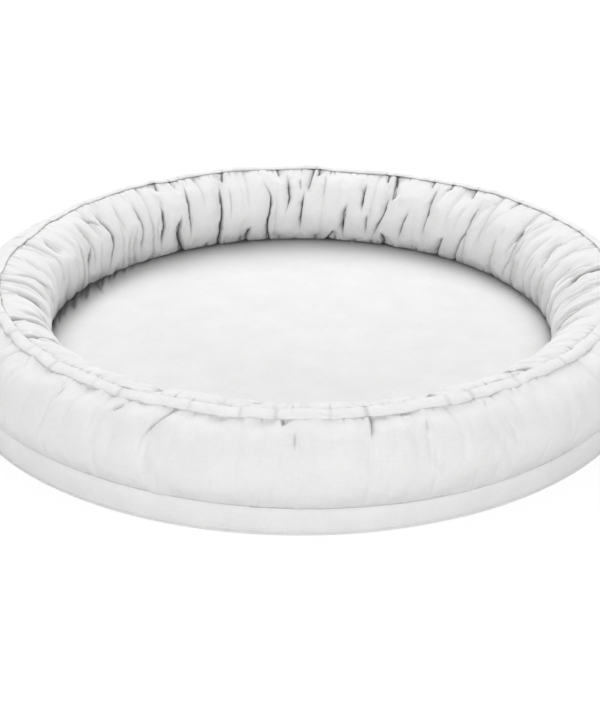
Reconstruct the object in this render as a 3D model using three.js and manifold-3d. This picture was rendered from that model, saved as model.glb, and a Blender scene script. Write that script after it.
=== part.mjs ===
// A round padded infant lounger: a fibre-filled bolster ring on a flat foam mattress in a cotton cover.
// Millimetres, +Z up, origin on the floor under the middle of the base. The front faces -Y, the zip is at +Y.
import * as THREE from 'three';
import { mergeGeometries, mergeVertices } from 'three/addons/utils/BufferGeometryUtils.js';
import Module from 'manifold-3d';

const wasm = await Module();
wasm.setup();

// Overall sizes of the lounger. The bolster's feet are counted from under its crest.
const baseRadius = 450;
const foamThickness = 30;
const foamCrown = 3;
const bolsterTop = 125;
const bolsterBulgeHeight = 72;
const bolsterOuterFoot = 48;
const bolsterOuterOverhang = 8;
const bolsterInnerFoot = 62;
const bolsterInnerOverhang = 7;

// Cloth and the gap that neighbouring pieces keep.
const fabric = 1.5;
const fit = 0.3;
const gatherDepth = 5;
const puckerDepth = 3.5;
const overrun = 2;

// Narrow strip sewn over the crest of the bolster.
const topBandWidth = 11;
const topBandEdge = 0.9;
const topBandCrown = 0.9;

// Moulded zip in the back of the boxing band.
const zipHalfAngle = THREE.MathUtils.degToRad(32);
const zipTapeThickness = 0.8;
const zipTapeWidth = 9.2;
const zipTapeEnd = 12;
const zipSlotHalfHeight = 7;
const zipChainHalfWidth = 3;
const zipBeadWidth = 1.2;
const zipBeadThickness = 2.6;
const toothPitch = 4.2;
const toothThickness = 2.2;
const toothOverlap = 1;
const toothRootHalfWidth = 0.55;
const toothHeadHalfWidth = 0.85;
const toothTipHalfWidth = 0.5;
const stopLength = 3;

// Slider and puller of the zip.
const sliderLength = 9;
const sliderPlate = 1.2;
const sliderBackPlate = 1;
const sliderFlange = 0.9;
const sliderEndMargin = 0.5;
const bailWidth = 2.4;
const bailBar = 1;
const bailInnerRadius = 1.5;
const pullerThickness = 1.2;
const pullerLength = 24;
const pullerEyeHalfWidth = 3;
const pullerTipHalfWidth = 2.4;
const pullerEyeDepth = 2.9;
const pullerEyeEnd = 4.6;

// Faces round each ring.
const discStations = 72;
const bolsterStations = 120;
const fillingStations = 60;
const stationsPerGather = 3;
const arcSegments = 16;
const stopSegments = 1;
const bailSegments = 5;

// The bolster's crest ring stands in from the base's edge, and its walls lean out past their feet.
const bolsterRingRadius = baseRadius - bolsterOuterFoot;
const bolsterInnerHalfWidth = bolsterInnerFoot + bolsterInnerOverhang;
const bolsterOuterHalfWidth = bolsterOuterFoot + bolsterOuterOverhang;

// Heights of the layers, from the floor up.
const floorPanelTop = fabric;
const foamBottom = floorPanelTop + fit;
const foamTop = foamBottom + foamThickness;
const sleepSurfaceBottom = foamTop + fit;
const bandTop = sleepSurfaceBottom + fabric;
const bolsterFootHeight = bandTop + fit;
const zipHeight = (foamBottom + bandTop) / 2;

// Radii of the zip's layers, from the band inwards. A flat facet of the band comes in by its sag.
const facetSag = baseRadius * (1 - Math.cos(Math.PI / discStations));
const bandInnerRadius = baseRadius - fabric;
const tapeOuterRadius = bandInnerRadius - fit - facetSag;
const tapeInnerRadius = tapeOuterRadius - zipTapeThickness;
const chainMidRadius = (tapeOuterRadius + tapeInnerRadius) / 2;
const chainOuterRadius = chainMidRadius + zipBeadThickness / 2;
const chainInnerRadius = chainMidRadius - zipBeadThickness / 2;
const sliderPlateInner = chainOuterRadius + fit;
const sliderPlateOuter = sliderPlateInner + sliderPlate;
const backPlateOuter = chainInnerRadius - fit;
const backPlateInner = backPlateOuter - sliderBackPlate;
const foamRadius = backPlateInner - fit;

const cotton = { color: 0xf3f3f1, roughness: 0.95, metalness: 0 };
const fibre = { color: 0xfafafa, roughness: 1, metalness: 0 };
const foam = { color: 0xf2ecd8, roughness: 0.9, metalness: 0 };
const tapeCloth = { color: 0xececea, roughness: 0.85, metalness: 0 };
const acetal = { color: 0xe9e9e6, roughness: 0.4, metalness: 0 };
const enamel = { color: 0xe4e4e2, roughness: 0.3, metalness: 0.4 };

const lounger = new THREE.Group();

function addPart(name, geometry, finish, parent = lounger) {
  const mesh = new THREE.Mesh(geometry, new THREE.MeshStandardMaterial(finish));
  mesh.name = name;
  parent.add(mesh);
  return mesh;
}

// Solids for cutting and joining.
function toSolid(geometry) {
  const bare = geometry.clone();
  bare.deleteAttribute('normal');
  bare.deleteAttribute('uv');
  const merged = mergeVertices(bare);
  return new wasm.Manifold(new wasm.Mesh({
    numProp: 3,
    vertProperties: new Float32Array(merged.attributes.position.array),
    triVerts: new Uint32Array(merged.index.array),
  }));
}

function toGeometry(solid) {
  const { vertProperties, triVerts } = solid.getMesh();
  const geometry = new THREE.BufferGeometry();
  geometry.setAttribute('position', new THREE.BufferAttribute(new Float32Array(vertProperties), 3));
  geometry.setIndex([...triVerts]);
  geometry.computeVertexNormals();
  return geometry;
}

// Revolved round the Z axis, from [radius, height] pairs listed anticlockwise as seen with Z up.
function revolve(pairs, stations) {
  const profile = pairs.map(([radius, height]) => new THREE.Vector2(radius, height));
  return new THREE.LatheGeometry(profile, stations).rotateX(Math.PI / 2);
}

// A closed ring through one polygon of [radius, height] pairs at each station round the Z axis.
function ringThroughSections(stations, sectionAt) {
  const sections = Array.from({ length: stations }, (unused, station) => sectionAt(station));
  const sides = sections[0].length;
  const positions = [];
  const index = [];
  sections.forEach((section, station) => {
    const turn = (station / stations) * Math.PI * 2;
    const next = (station + 1) % stations;
    section.forEach(([radius, height], side) => {
      positions.push(radius * Math.cos(turn), radius * Math.sin(turn), height);
      const here = station * sides + side;
      const above = station * sides + (side + 1) % sides;
      const across = next * sides + side;
      const diagonal = next * sides + (side + 1) % sides;
      index.push(here, across, above, above, across, diagonal);
    });
  });
  const geometry = new THREE.BufferGeometry();
  geometry.setAttribute('position', new THREE.Float32BufferAttribute(positions, 3));
  geometry.setIndex(index);
  geometry.computeVertexNormals();
  return geometry;
}

// A piece of a flat-topped ring between two angles, from one height to another.
function ringSector(innerRadius, outerRadius, angles, heights, curveSegments = arcSegments) {
  const [fromAngle, toAngle] = angles;
  const fromHeight = Math.min(...heights);
  const depth = Math.max(...heights) - fromHeight;
  const sector = new THREE.Shape();
  sector.absarc(0, 0, outerRadius, fromAngle, toAngle, false);
  sector.absarc(0, 0, innerRadius, toAngle, fromAngle, true);
  const solid = new THREE.ExtrudeGeometry(sector, { depth, bevelEnabled: false, curveSegments });
  return solid.translate(0, 0, fromHeight);
}

const backAngle = Math.PI / 2;
const chainStart = backAngle - zipHalfAngle;
const chainEnd = backAngle + zipHalfAngle;

// Base panel: the round of cotton that lies on the floor.
function basePanel() {
  return revolve([[0, 0], [baseRadius, 0], [baseRadius, floorPanelTop], [0, floorPanelTop]], discStations);
}

// Boxing band: the upright strip round the mattress, open at the back where the zip shows.
function boxingBand() {
  const strip = revolve([
    [bandInnerRadius, foamBottom],
    [baseRadius, foamBottom],
    [baseRadius, bandTop],
    [bandInnerRadius, bandTop],
    [bandInnerRadius, foamBottom],
  ], discStations);
  const endGap = (stopLength + fit * 2) / chainMidRadius;
  const slot = ringSector(
    bandInnerRadius - overrun,
    baseRadius + overrun,
    [chainStart - endGap, chainEnd + endGap],
    [zipHeight - zipSlotHalfHeight, zipHeight + zipSlotHalfHeight],
  );
  return toGeometry(toSolid(strip).subtract(toSolid(slot)));
}

// Height of the mattress crown above its rim. The crown dies out where the bolster stands.
const crownRadius = bolsterRingRadius - bolsterInnerHalfWidth;
const crownRadiusShares = [0, 0.35, 0.7, 1];
const crownPoints = crownRadiusShares.map((share) => [
  share * crownRadius,
  foamCrown * (1 - share ** 2) ** 2,
]);

function foamCore() {
  const top = crownPoints.map(([radius, rise]) => [radius, foamTop + rise]).reverse();
  return revolve([[0, foamBottom], [foamRadius, foamBottom], [foamRadius, foamTop], ...top], discStations);
}

// Sleep surface panel: a full round of cotton over the mattress, edge to edge inside the band.
function sleepSurface() {
  const edge = bandInnerRadius - fit;
  const under = crownPoints.map(([radius, rise]) => [radius, sleepSurfaceBottom + rise]);
  const over = crownPoints.map(([radius, rise]) => [radius, bandTop + rise]).reverse();
  return revolve([...under, [edge, sleepSurfaceBottom], [edge, bandTop], ...over], discStations);
}

// Section of the bolster. The share runs from its foot on the mattress, 0, to its crest, 1.
// The wall steps in from the cloth's outer face by the inset, and side is -1 towards the middle, 1 outwards.
function bolsterWall(side, share, inset, swell) {
  const halfWidth = side < 0 ? bolsterInnerHalfWidth : bolsterOuterHalfWidth;
  const foot = side < 0 ? bolsterInnerFoot : bolsterOuterFoot;
  const footTurn = Math.acos(foot / halfWidth);
  const turn = -footTurn + share * (Math.PI / 2 + footTurn);
  const upperHeight = bolsterTop - bolsterBulgeHeight;
  const lowerHeight = (bolsterBulgeHeight - bolsterFootHeight) / Math.sin(footTurn);
  const halfHeight = turn > 0 ? upperHeight : lowerHeight;
  const reach = (halfWidth - inset + swell) * Math.cos(turn);
  const rise = (halfHeight - inset + swell) * Math.sin(turn);
  const height = share > 0 ? bolsterBulgeHeight + rise : bolsterFootHeight;
  return [bolsterRingRadius + side * reach, Math.max(height, bolsterFootHeight)];
}

// How much of a gather's depth shows at each point from foot to crest.
const wallShares = [0, 0.24, 0.5, 0.8, 1];
const gatherShares = [0.55, 0.9, 0.75, 1, 0];
const puckerShares = [0.25, 0.1, 0.25, 1, 0];

// Hand-gathered cloth: each gather is one sunken station between two proud ones, none as deep as the next.
const gatherProfileShares = [-1, 0.45, 0.3];
const unevenShare = 0.4;
const unevenTurns = 11;
const unevenTurnsAcross = 7;

function unevenness(station) {
  const turn = (station / bolsterStations) * Math.PI * 2;
  const wander = Math.sin(turn * unevenTurns) * Math.cos(turn * unevenTurnsAcross);
  return 1 - unevenShare + unevenShare * wander;
}

function gatherAt(station, depth) {
  return depth * unevenness(station) * gatherProfileShares[station % stationsPerGather];
}

// One side of the bolster's cover, as a shell of one thickness whose faces rise and sink together.
function bolsterPanel(side, depth, depthShares) {
  const seam = [bolsterRingRadius + side * fit / 2, bolsterTop];
  return ringThroughSections(bolsterStations, (station) => {
    const gather = gatherAt(station, depth);
    const face = wallShares.map((share, i) => bolsterWall(side, share, 0, gather * depthShares[i]));
    const back = wallShares.map((share, i) => bolsterWall(side, share, fabric, gather * depthShares[i]));
    face[face.length - 1] = seam;
    back[back.length - 1] = [seam[0], seam[1] - fabric];
    const loop = [...face, ...back.reverse()];
    return side > 0 ? loop : loop.reverse();
  });
}

// Fibre filling: a plain ring that clears the deepest gather of either panel.
function bolsterFilling() {
  const stretch = bolsterRingRadius * (1 - Math.cos(Math.PI / fillingStations));
  const inset = fabric + fit + stretch;
  const outer = wallShares.map((share) => bolsterWall(1, share, inset + puckerDepth, 0));
  const inner = wallShares.map((share) => bolsterWall(-1, share, inset + gatherDepth, 0)).reverse();
  const crest = [bolsterRingRadius, bolsterTop - inset - gatherDepth];
  const section = [...outer.slice(0, -1), crest, ...inner.slice(1)];
  return ringThroughSections(fillingStations, () => section);
}

// Top band: the strip that covers the seam along the bolster's crest, a little raised in its middle.
function topBand() {
  const bottom = bolsterTop + fit;
  const halfWidth = topBandWidth / 2;
  const section = [
    [bolsterRingRadius - halfWidth, bottom],
    [bolsterRingRadius + halfWidth, bottom],
    [bolsterRingRadius + halfWidth, bottom + topBandEdge],
    [bolsterRingRadius, bottom + topBandEdge + topBandCrown],
    [bolsterRingRadius - halfWidth, bottom + topBandEdge],
  ];
  return ringThroughSections(bolsterStations, () => section);
}

// Zip tape: woven strip behind the band. side is 1 above the teeth and -1 below them.
function zipTape(side) {
  const near = zipHeight + side * (zipChainHalfWidth + fit);
  const far = near + side * zipTapeWidth;
  const end = (stopLength + zipTapeEnd) / chainMidRadius;
  return ringSector(tapeInnerRadius, tapeOuterRadius, [chainStart - end, chainEnd + end], [near, far]);
}

// One moulded tooth, drawn from its root in the bead to its tip past the middle of the chain.
function toothShape(side) {
  const rootHeight = side * (zipChainHalfWidth - zipBeadWidth / 2);
  const headHeight = -side * toothOverlap / 3;
  const tipHeight = -side * toothOverlap;
  return new THREE.Shape([
    new THREE.Vector2(-toothRootHalfWidth, rootHeight),
    new THREE.Vector2(-toothHeadHalfWidth, headHeight),
    new THREE.Vector2(-toothTipHalfWidth, tipHeight),
    new THREE.Vector2(toothTipHalfWidth, tipHeight),
    new THREE.Vector2(toothHeadHalfWidth, headHeight),
    new THREE.Vector2(toothRootHalfWidth, rootHeight),
  ]);
}

// A flat piece drawn in X and Z, as thick as given along Y, with its near face at innerY.
function uprightPlate(shape, thickness, innerY, curveSegments = bailSegments) {
  const plate = new THREE.ExtrudeGeometry(shape, { depth: thickness, bevelEnabled: false, curveSegments });
  return plate.rotateX(Math.PI / 2).translate(0, innerY + thickness, 0);
}

// Row of teeth moulded on the cord of one tape. The rows are half a pitch apart, so that they mesh.
function teethRow(side) {
  const pitchAngle = toothPitch / chainMidRadius;
  const pairs = Math.floor((chainEnd - chainStart) / pitchAngle);
  const firstAngle = backAngle - ((pairs - 1) / 2 + side / 4) * pitchAngle;
  const tooth = uprightPlate(toothShape(side), toothThickness, chainMidRadius - toothThickness / 2);
  const teeth = Array.from({ length: pairs }, (unused, i) => (
    tooth.clone().rotateZ(firstAngle + i * pitchAngle - backAngle).translate(0, 0, zipHeight)
  ));
  const beadNear = zipHeight + side * (zipChainHalfWidth - zipBeadWidth);
  const beadFar = zipHeight + side * zipChainHalfWidth;
  const bead = ringSector(chainInnerRadius, chainOuterRadius, [chainStart, chainEnd], [beadNear, beadFar]);
  return toGeometry(toSolid(bead).add(toSolid(mergeGeometries(teeth))));
}

// Top stop: a block clamped on one row, past the slider's closed place.
function topStop(side) {
  const near = zipHeight + side * fit;
  const far = zipHeight + side * zipChainHalfWidth;
  const start = chainEnd + fit / chainMidRadius;
  const angles = [start, start + stopLength / chainMidRadius];
  return ringSector(chainInnerRadius, chainOuterRadius, angles, [near, far], stopSegments);
}

// Bottom stop: one block across both rows at the open end.
function bottomStop() {
  const end = chainStart - fit / chainMidRadius;
  const angles = [end - stopLength / chainMidRadius, end];
  const heights = [zipHeight - zipChainHalfWidth, zipHeight + zipChainHalfWidth];
  return ringSector(chainInnerRadius, chainOuterRadius, angles, heights, stopSegments);
}

// The slider's frame: X along the chain towards the open end, Y out of the band, Z up.
const sliderHalfWidth = zipChainHalfWidth + fit + sliderFlange;
const sliderNoseShare = 0.55;
const sliderTailShare = 0.85;
const pinHalf = pullerThickness / 2;
const pinHeight = Math.hypot(pinHalf, pinHalf) + fit;
const pinRadius = sliderPlateOuter + pinHeight;

// Shield outline of a slider plate: broad where the rows come apart, narrow at the nose.
function sliderOutline() {
  const halfLength = sliderLength / 2;
  return new THREE.Shape([
    new THREE.Vector2(-halfLength, -sliderHalfWidth * sliderNoseShare),
    new THREE.Vector2(-halfLength * sliderNoseShare, -sliderHalfWidth),
    new THREE.Vector2(halfLength * sliderTailShare, -sliderHalfWidth),
    new THREE.Vector2(halfLength, -sliderHalfWidth * sliderTailShare),
    new THREE.Vector2(halfLength, sliderHalfWidth * sliderTailShare),
    new THREE.Vector2(halfLength * sliderTailShare, sliderHalfWidth),
    new THREE.Vector2(-halfLength * sliderNoseShare, sliderHalfWidth),
    new THREE.Vector2(-halfLength, sliderHalfWidth * sliderNoseShare),
  ]);
}

// Lips along both long edges that guide the slider on the tapes.
function sliderLips(fromY, toY) {
  const length = sliderLength * (sliderTailShare + sliderNoseShare) / 2;
  const shift = sliderLength * (sliderTailShare - sliderNoseShare) / 4;
  const depth = toY - fromY;
  const lip = new THREE.BoxGeometry(length, depth, sliderFlange).translate(shift, fromY + depth / 2, 0);
  const offset = sliderHalfWidth - sliderFlange / 2;
  return toSolid(mergeGeometries([lip.clone().translate(0, 0, offset), lip.translate(0, 0, -offset)]));
}

// Bail: the arch on the slider that holds the puller.
function bail() {
  const outer = bailInnerRadius + bailBar;
  const foot = -pinHeight - sliderPlate / 2;
  const arch = new THREE.Shape();
  arch.moveTo(-outer, foot);
  arch.lineTo(-bailInnerRadius, foot);
  arch.lineTo(-bailInnerRadius, 0);
  arch.absarc(0, 0, bailInnerRadius, Math.PI, 0, true);
  arch.lineTo(bailInnerRadius, foot);
  arch.lineTo(outer, foot);
  arch.lineTo(outer, 0);
  arch.absarc(0, 0, outer, 0, Math.PI, false);
  const options = { depth: bailWidth, bevelEnabled: false, curveSegments: bailSegments };
  return new THREE.ExtrudeGeometry(arch, options).translate(0, pinRadius, -bailWidth / 2);
}

function zipSlider() {
  const plate = uprightPlate(sliderOutline(), sliderPlate, sliderPlateInner);
  const lips = sliderLips(tapeOuterRadius + fit, sliderPlateInner + sliderPlate / 2);
  return toGeometry(toSolid(plate).add(lips).add(toSolid(bail())));
}

function sliderBack() {
  const plate = uprightPlate(sliderOutline(), sliderBackPlate, backPlateInner);
  const lips = sliderLips(backPlateInner + sliderBackPlate / 2, tapeInnerRadius - fit);
  return toGeometry(toSolid(plate).add(lips));
}

// Puller: a flat tab whose end bar is the pin in the bail, with an eye that the bail passes through.
function zipPuller() {
  const eyeHalf = bailWidth / 2 + fit;
  const tipCentre = pullerLength - pullerTipHalfWidth;
  const tab = new THREE.Shape();
  tab.moveTo(-pinHalf, -pullerEyeHalfWidth);
  tab.lineTo(pullerEyeEnd, -pullerEyeHalfWidth);
  tab.lineTo(pullerEyeEnd + pullerEyeHalfWidth, -pullerTipHalfWidth);
  tab.lineTo(tipCentre, -pullerTipHalfWidth);
  tab.absarc(tipCentre, 0, pullerTipHalfWidth, -Math.PI / 2, Math.PI / 2, false);
  tab.lineTo(pullerEyeEnd + pullerEyeHalfWidth, pullerTipHalfWidth);
  tab.lineTo(pullerEyeEnd, pullerEyeHalfWidth);
  tab.lineTo(-pinHalf, pullerEyeHalfWidth);
  const eye = new THREE.Path([
    new THREE.Vector2(pinHalf, -eyeHalf),
    new THREE.Vector2(pinHalf, eyeHalf),
    new THREE.Vector2(pullerEyeDepth, eyeHalf),
    new THREE.Vector2(pullerEyeDepth, -eyeHalf),
  ]);
  tab.holes.push(eye);
  return uprightPlate(tab, pullerThickness, pinRadius - pinHalf);
}

addPart('base_panel', basePanel(), cotton);
addPart('boxing_band', boxingBand(), cotton);
addPart('mattress_core', foamCore(), foam);
addPart('sleep_surface_panel', sleepSurface(), cotton);
addPart('bolster_filling', bolsterFilling(), fibre);
addPart('bolster_inner_panel', bolsterPanel(-1, gatherDepth, gatherShares), cotton);
addPart('bolster_outer_panel', bolsterPanel(1, puckerDepth, puckerShares), cotton);
addPart('top_band', topBand(), cotton);

for (const [place, side] of [['upper', 1], ['lower', -1]]) {
  addPart(`zip_tape_${place}`, zipTape(side), tapeCloth);
  addPart(`zip_teeth_${place}`, teethRow(side), acetal);
  addPart(`zip_top_stop_${place}`, topStop(side), enamel);
}
addPart('zip_bottom_stop', bottomStop(), enamel);

// The slider is closed at rest, against the top stops.
const sliderAngle = chainEnd - (sliderLength / 2 + sliderEndMargin) / chainMidRadius;
const sliderGroup = new THREE.Group();
sliderGroup.rotation.z = sliderAngle - backAngle;
sliderGroup.position.z = zipHeight;
lounger.add(sliderGroup);
addPart('zip_slider', zipSlider(), enamel, sliderGroup);
addPart('zip_slider_back_plate', sliderBack(), enamel, sliderGroup);
addPart('zip_puller', zipPuller(), enamel, sliderGroup);

export default lounger;
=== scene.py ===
# %% [markdown]
# # A round infant lounger in white cotton
# The real object is sewn: a flat foam mattress in a box cover, with a bolster ring full of polyester fibre
# sewn on its rim. The construction model gives each piece its place and size. This lesson dresses it: it
# makes every cloth piece again as cloth, with its folds, seams and weave, and gives the zip its finishes.
# All lengths are in metres, the floor is at zero height, and the front of the lounger faces -Y.

# %% Load the construction model
import math
import bmesh
import bpy
import numpy as np
from mathutils import Matrix, Vector


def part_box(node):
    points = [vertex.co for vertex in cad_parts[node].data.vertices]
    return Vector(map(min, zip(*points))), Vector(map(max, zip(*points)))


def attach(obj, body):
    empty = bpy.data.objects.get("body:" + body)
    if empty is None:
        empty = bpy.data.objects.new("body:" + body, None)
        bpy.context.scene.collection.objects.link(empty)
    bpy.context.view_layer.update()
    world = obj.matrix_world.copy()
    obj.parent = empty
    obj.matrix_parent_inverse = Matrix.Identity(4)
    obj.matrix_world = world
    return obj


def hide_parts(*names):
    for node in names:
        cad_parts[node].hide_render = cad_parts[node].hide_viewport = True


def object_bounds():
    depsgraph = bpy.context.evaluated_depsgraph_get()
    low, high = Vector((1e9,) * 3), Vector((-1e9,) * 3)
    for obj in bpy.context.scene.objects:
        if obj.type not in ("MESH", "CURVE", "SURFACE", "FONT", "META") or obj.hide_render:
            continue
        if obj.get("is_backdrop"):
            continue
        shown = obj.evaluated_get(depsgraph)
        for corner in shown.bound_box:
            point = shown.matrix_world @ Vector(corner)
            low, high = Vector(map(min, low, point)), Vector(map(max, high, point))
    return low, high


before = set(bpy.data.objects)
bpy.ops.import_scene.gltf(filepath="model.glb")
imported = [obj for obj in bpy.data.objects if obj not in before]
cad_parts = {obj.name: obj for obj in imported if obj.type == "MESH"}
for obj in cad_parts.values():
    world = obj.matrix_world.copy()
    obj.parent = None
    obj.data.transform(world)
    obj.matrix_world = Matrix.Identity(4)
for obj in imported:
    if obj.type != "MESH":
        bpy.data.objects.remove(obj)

mm = 0.001
cad_box = [list(corner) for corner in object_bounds()]
print("construction model from", cad_box[0], "to", cad_box[1])

# %% [markdown]
# ## Sizes
# The layers are read from the construction model, where the base, the boxing band, the sleep surface and
# the crest band each have a box. The round section of the bolster has no box of its own, so its half
# widths and feet, counted from under its crest, are written here once, and every piece that touches the
# bolster is worked out from them.

# %% Layers and bolster section
base_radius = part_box("base_panel")[1].x
band_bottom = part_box("boxing_band")[0].z
band_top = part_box("boxing_band")[1].z
surface_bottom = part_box("sleep_surface_panel")[0].z
surface_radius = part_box("sleep_surface_panel")[1].x
crown_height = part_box("sleep_surface_panel")[1].z - band_top
cloth_thickness = 1.2 * mm
seam_gap = 0.3 * mm

crest_radius = 402 * mm
crest_height = 125 * mm
bulge_height = 72 * mm
foot_height = band_top + seam_gap
half_widths = {"inner": 69 * mm, "outer": 56 * mm}
feet = {"inner": 62 * mm, "outer": 48 * mm}
foot_tucks = {"inner": 5, "outer": 3}
outward = {"inner": -1, "outer": 1}
crown_radius = crest_radius - half_widths["inner"]
print("base radius", round(base_radius, 4), "band", round(band_bottom, 4), "to", round(band_top, 4))


# %% The line of the bolster's cloth in section
def bolster_wall(side, share):
    """Radius and height of the bolster's cloth, from its foot on the mattress, 0, to its crest, 1."""
    half_width = half_widths[side]
    foot_turn = math.acos(feet[side] / half_width)
    turn = -foot_turn + share * (math.pi / 2 + foot_turn)
    sunk = np.clip(-np.sin(turn) / math.sin(foot_turn), 0, 1)
    tucked_in = (half_width - feet[side]) * sunk ** foot_tucks[side]
    radius = crest_radius + outward[side] * (half_width * np.cos(np.maximum(turn, 0)) - tucked_in)
    above = (crest_height - bulge_height) * np.sin(np.maximum(turn, 0))
    height = bulge_height + above - (bulge_height - foot_height) * sunk
    return radius, height


for side in outward:
    foot_middle_crest = [np.round(bolster_wall(side, share), 4) for share in (0.0, 0.5, 1.0)]
    print(side, "wall, foot, middle and crest:", foot_middle_crest)

# %% [markdown]
# ## The camera
# The photograph was taken from in front and a little above, so near that the ring runs out of the frame
# at both sides. The angle, the distance and the lens were found by matching the base's outline, the lower
# seam and the crest with circles of their real sizes. The camera looks straight at the middle of the base.

# %% Camera
camera_pitch = 0.451
camera_distance = 1.8915
picture_width = 600
picture_height = 705
pixels_per_metre_at_middle = 735.2
sensor = 36.0

camera_data = bpy.data.cameras.new("photo_camera")
camera = bpy.data.objects.new("photo_camera", camera_data)
bpy.context.scene.collection.objects.link(camera)
camera.location = (0, -camera_distance * math.cos(camera_pitch), camera_distance * math.sin(camera_pitch))
camera.rotation_euler = (math.pi / 2 - camera_pitch, 0, 0)
camera_data.sensor_width = sensor
camera_data.lens = pixels_per_metre_at_middle * camera_distance * sensor / max(picture_width, picture_height)
bpy.context.scene.camera = camera
print("lens", round(camera_data.lens, 2), "mm")

# %% [markdown]
# ## Floor and light
# The picture has a plain white ground. The floor shows white to the camera by a little light of its own,
# and a weak matt layer keeps the object's shadow. For every other ray the floor is a matt pale sheet, so
# that it lights the cloth from below as studio paper does. White cloth shows its form only by its greys, so
# the light takes care. A weak dome fills the shadows. Two broad lamps high behind the lounger and one over
# it light the mattress, and leave a soft shadow along the foot of the bolster. Low broad lamps in front and
# at both sides light the faces that the camera sees. Their strengths come from setting the greys of the
# render against the photograph's, place by place, with no cloth so bright that it clips.

# %% Nodes by name
def node_adder(tree):
    """Empties a node tree, and gives a function that adds a node to it and sets the node's values."""
    tree.nodes.clear()

    def add(kind, **values):
        node = tree.nodes.new(kind)
        for key, value in values.items():
            socket = key.replace("_", " ")
            if socket in node.inputs:
                target = node.inputs[socket]
                if hasattr(value, "is_output"):
                    tree.links.new(value, target)
                else:
                    target.default_value = value
            else:
                setattr(node, key, value)
        return node

    return add


def material(name):
    """A new node material, its node tree and the function that adds nodes to it."""
    made = bpy.data.materials.new(name)
    made.use_nodes = True
    return made, made.node_tree, node_adder(made.node_tree)


def two_tones(add, value, colour, darkest, lightest, start=0, end=1):
    """The colour, from a darker tone of it where the value is start to a lighter one where it is end."""
    ramp = add("ShaderNodeValToRGB", Fac=value)
    first, last = ramp.color_ramp.elements
    first.position = start
    first.color = (*[channel * darkest for channel in colour], 1)
    last.position = end
    last.color = (*[min(channel * lightest, 1) for channel in colour], 1)
    return ramp.outputs["Color"]


def bumpy_surface(add, colour, roughness, height, depth):
    """Ends a material: its colour and roughness, and a bump as deep as given where the height is 1."""
    bump = add("ShaderNodeBump", Height=height, Strength=1.0, Distance=depth)
    shader = add(
        "ShaderNodeBsdfPrincipled", Base_Color=colour, Roughness=roughness, Normal=bump.outputs[0],
    )
    add("ShaderNodeOutputMaterial", Surface=shader.outputs[0])


def by_ray(tree, add, lighting, shown):
    """The lighting shader, but the shown one where the camera sees it, straight on or by gloss or glass."""
    path = add("ShaderNodeLightPath")
    seen = path.outputs["Is Camera Ray"]
    for kind in ("Is Glossy Ray", "Is Transmission Ray"):
        either = add("ShaderNodeMath", operation="MAXIMUM")
        tree.links.new(seen, either.inputs[0])
        tree.links.new(path.outputs[kind], either.inputs[1])
        seen = either.outputs[0]
    choose = add("ShaderNodeMixShader", Fac=seen)
    tree.links.new(lighting.outputs[0], choose.inputs[1])
    tree.links.new(shown.outputs[0], choose.inputs[2])
    return choose.outputs[0]


# %% Floor
floor_half_size = 6.0
floor_albedo = 0.65
floor_glow = 0.90
floor_shadow_layer = 0.14
white = (1, 1, 1, 1)

bpy.ops.object.select_all(action="DESELECT")
bpy.ops.mesh.primitive_plane_add(size=2 * floor_half_size, location=(0, 0, 0))
floor = bpy.context.object
floor.name = "studio_floor"

paper, tree, add = material("studio_paper")
matt = add("ShaderNodeBsdfDiffuse", Color=(floor_albedo,) * 3 + (1,))
shadow_layer = add("ShaderNodeBsdfDiffuse", Color=(floor_shadow_layer,) * 3 + (1,))
glow = add("ShaderNodeEmission", Color=white, Strength=floor_glow)
shown = add("ShaderNodeAddShader")
tree.links.new(shadow_layer.outputs[0], shown.inputs[0])
tree.links.new(glow.outputs[0], shown.inputs[1])
add("ShaderNodeOutputMaterial", Surface=by_ray(tree, add, matt, shown))
floor.data.materials.append(paper)
floor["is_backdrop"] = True
print("floor", 2 * floor_half_size, "m wide")

# %% Dome of light and white backdrop
dome_strength = 0.25

world = bpy.data.worlds.new("studio_dome")
bpy.context.scene.world = world
world.use_nodes = True
add = node_adder(world.node_tree)
dome = add("ShaderNodeBackground", Color=white, Strength=dome_strength)
backdrop = add("ShaderNodeBackground", Color=white, Strength=1.0)
add("ShaderNodeOutputWorld", Surface=by_ray(world.node_tree, add, dome, backdrop))
bpy.context.scene.view_settings.view_transform = "Standard"
print("dome strength", dome_strength)

# %% Soft lamps
lamp_distance = 8.0


def studio_lamp(name, bearing, elevation, width, height, strength):
    """A soft lamp that faces the lounger. strength is in watts for each square metre at the middle."""
    data = bpy.data.lights.new(name, "AREA")
    data.shape = "RECTANGLE"
    data.size = width
    data.size_y = height
    data.energy = strength * math.pi * lamp_distance ** 2
    lamp = bpy.data.objects.new(name, data)
    bpy.context.scene.collection.objects.link(lamp)
    flat = math.cos(math.radians(elevation))
    aim = Vector((
        math.cos(math.radians(bearing)) * flat,
        math.sin(math.radians(bearing)) * flat,
        math.sin(math.radians(elevation)),
    ))
    lamp.location = aim * lamp_distance
    lamp.rotation_euler = aim.to_track_quat("Z", "Y").to_euler()
    lamp.visible_camera = False
    return lamp


studio_lamp("back_lamp", 90, 37, 3.8, 3.2, 1.38)
studio_lamp("back_high_lamp", 90, 56, 3.8, 3.0, 0.92)
studio_lamp("top_lamp", 90, 84, 4.0, 4.0, 0.62)
studio_lamp("front_lamp", 268, 10.5, 7.5, 2.7, 1.03)
studio_lamp("front_high_lamp", 270, 40, 4.0, 2.7, 0.16)
studio_lamp("front_left_lamp", 215, 12, 4.0, 2.7, 0.71)
studio_lamp("front_right_lamp", 325, 12, 4.0, 2.7, 0.71)
print(len(bpy.data.lights), "lamps")

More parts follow.
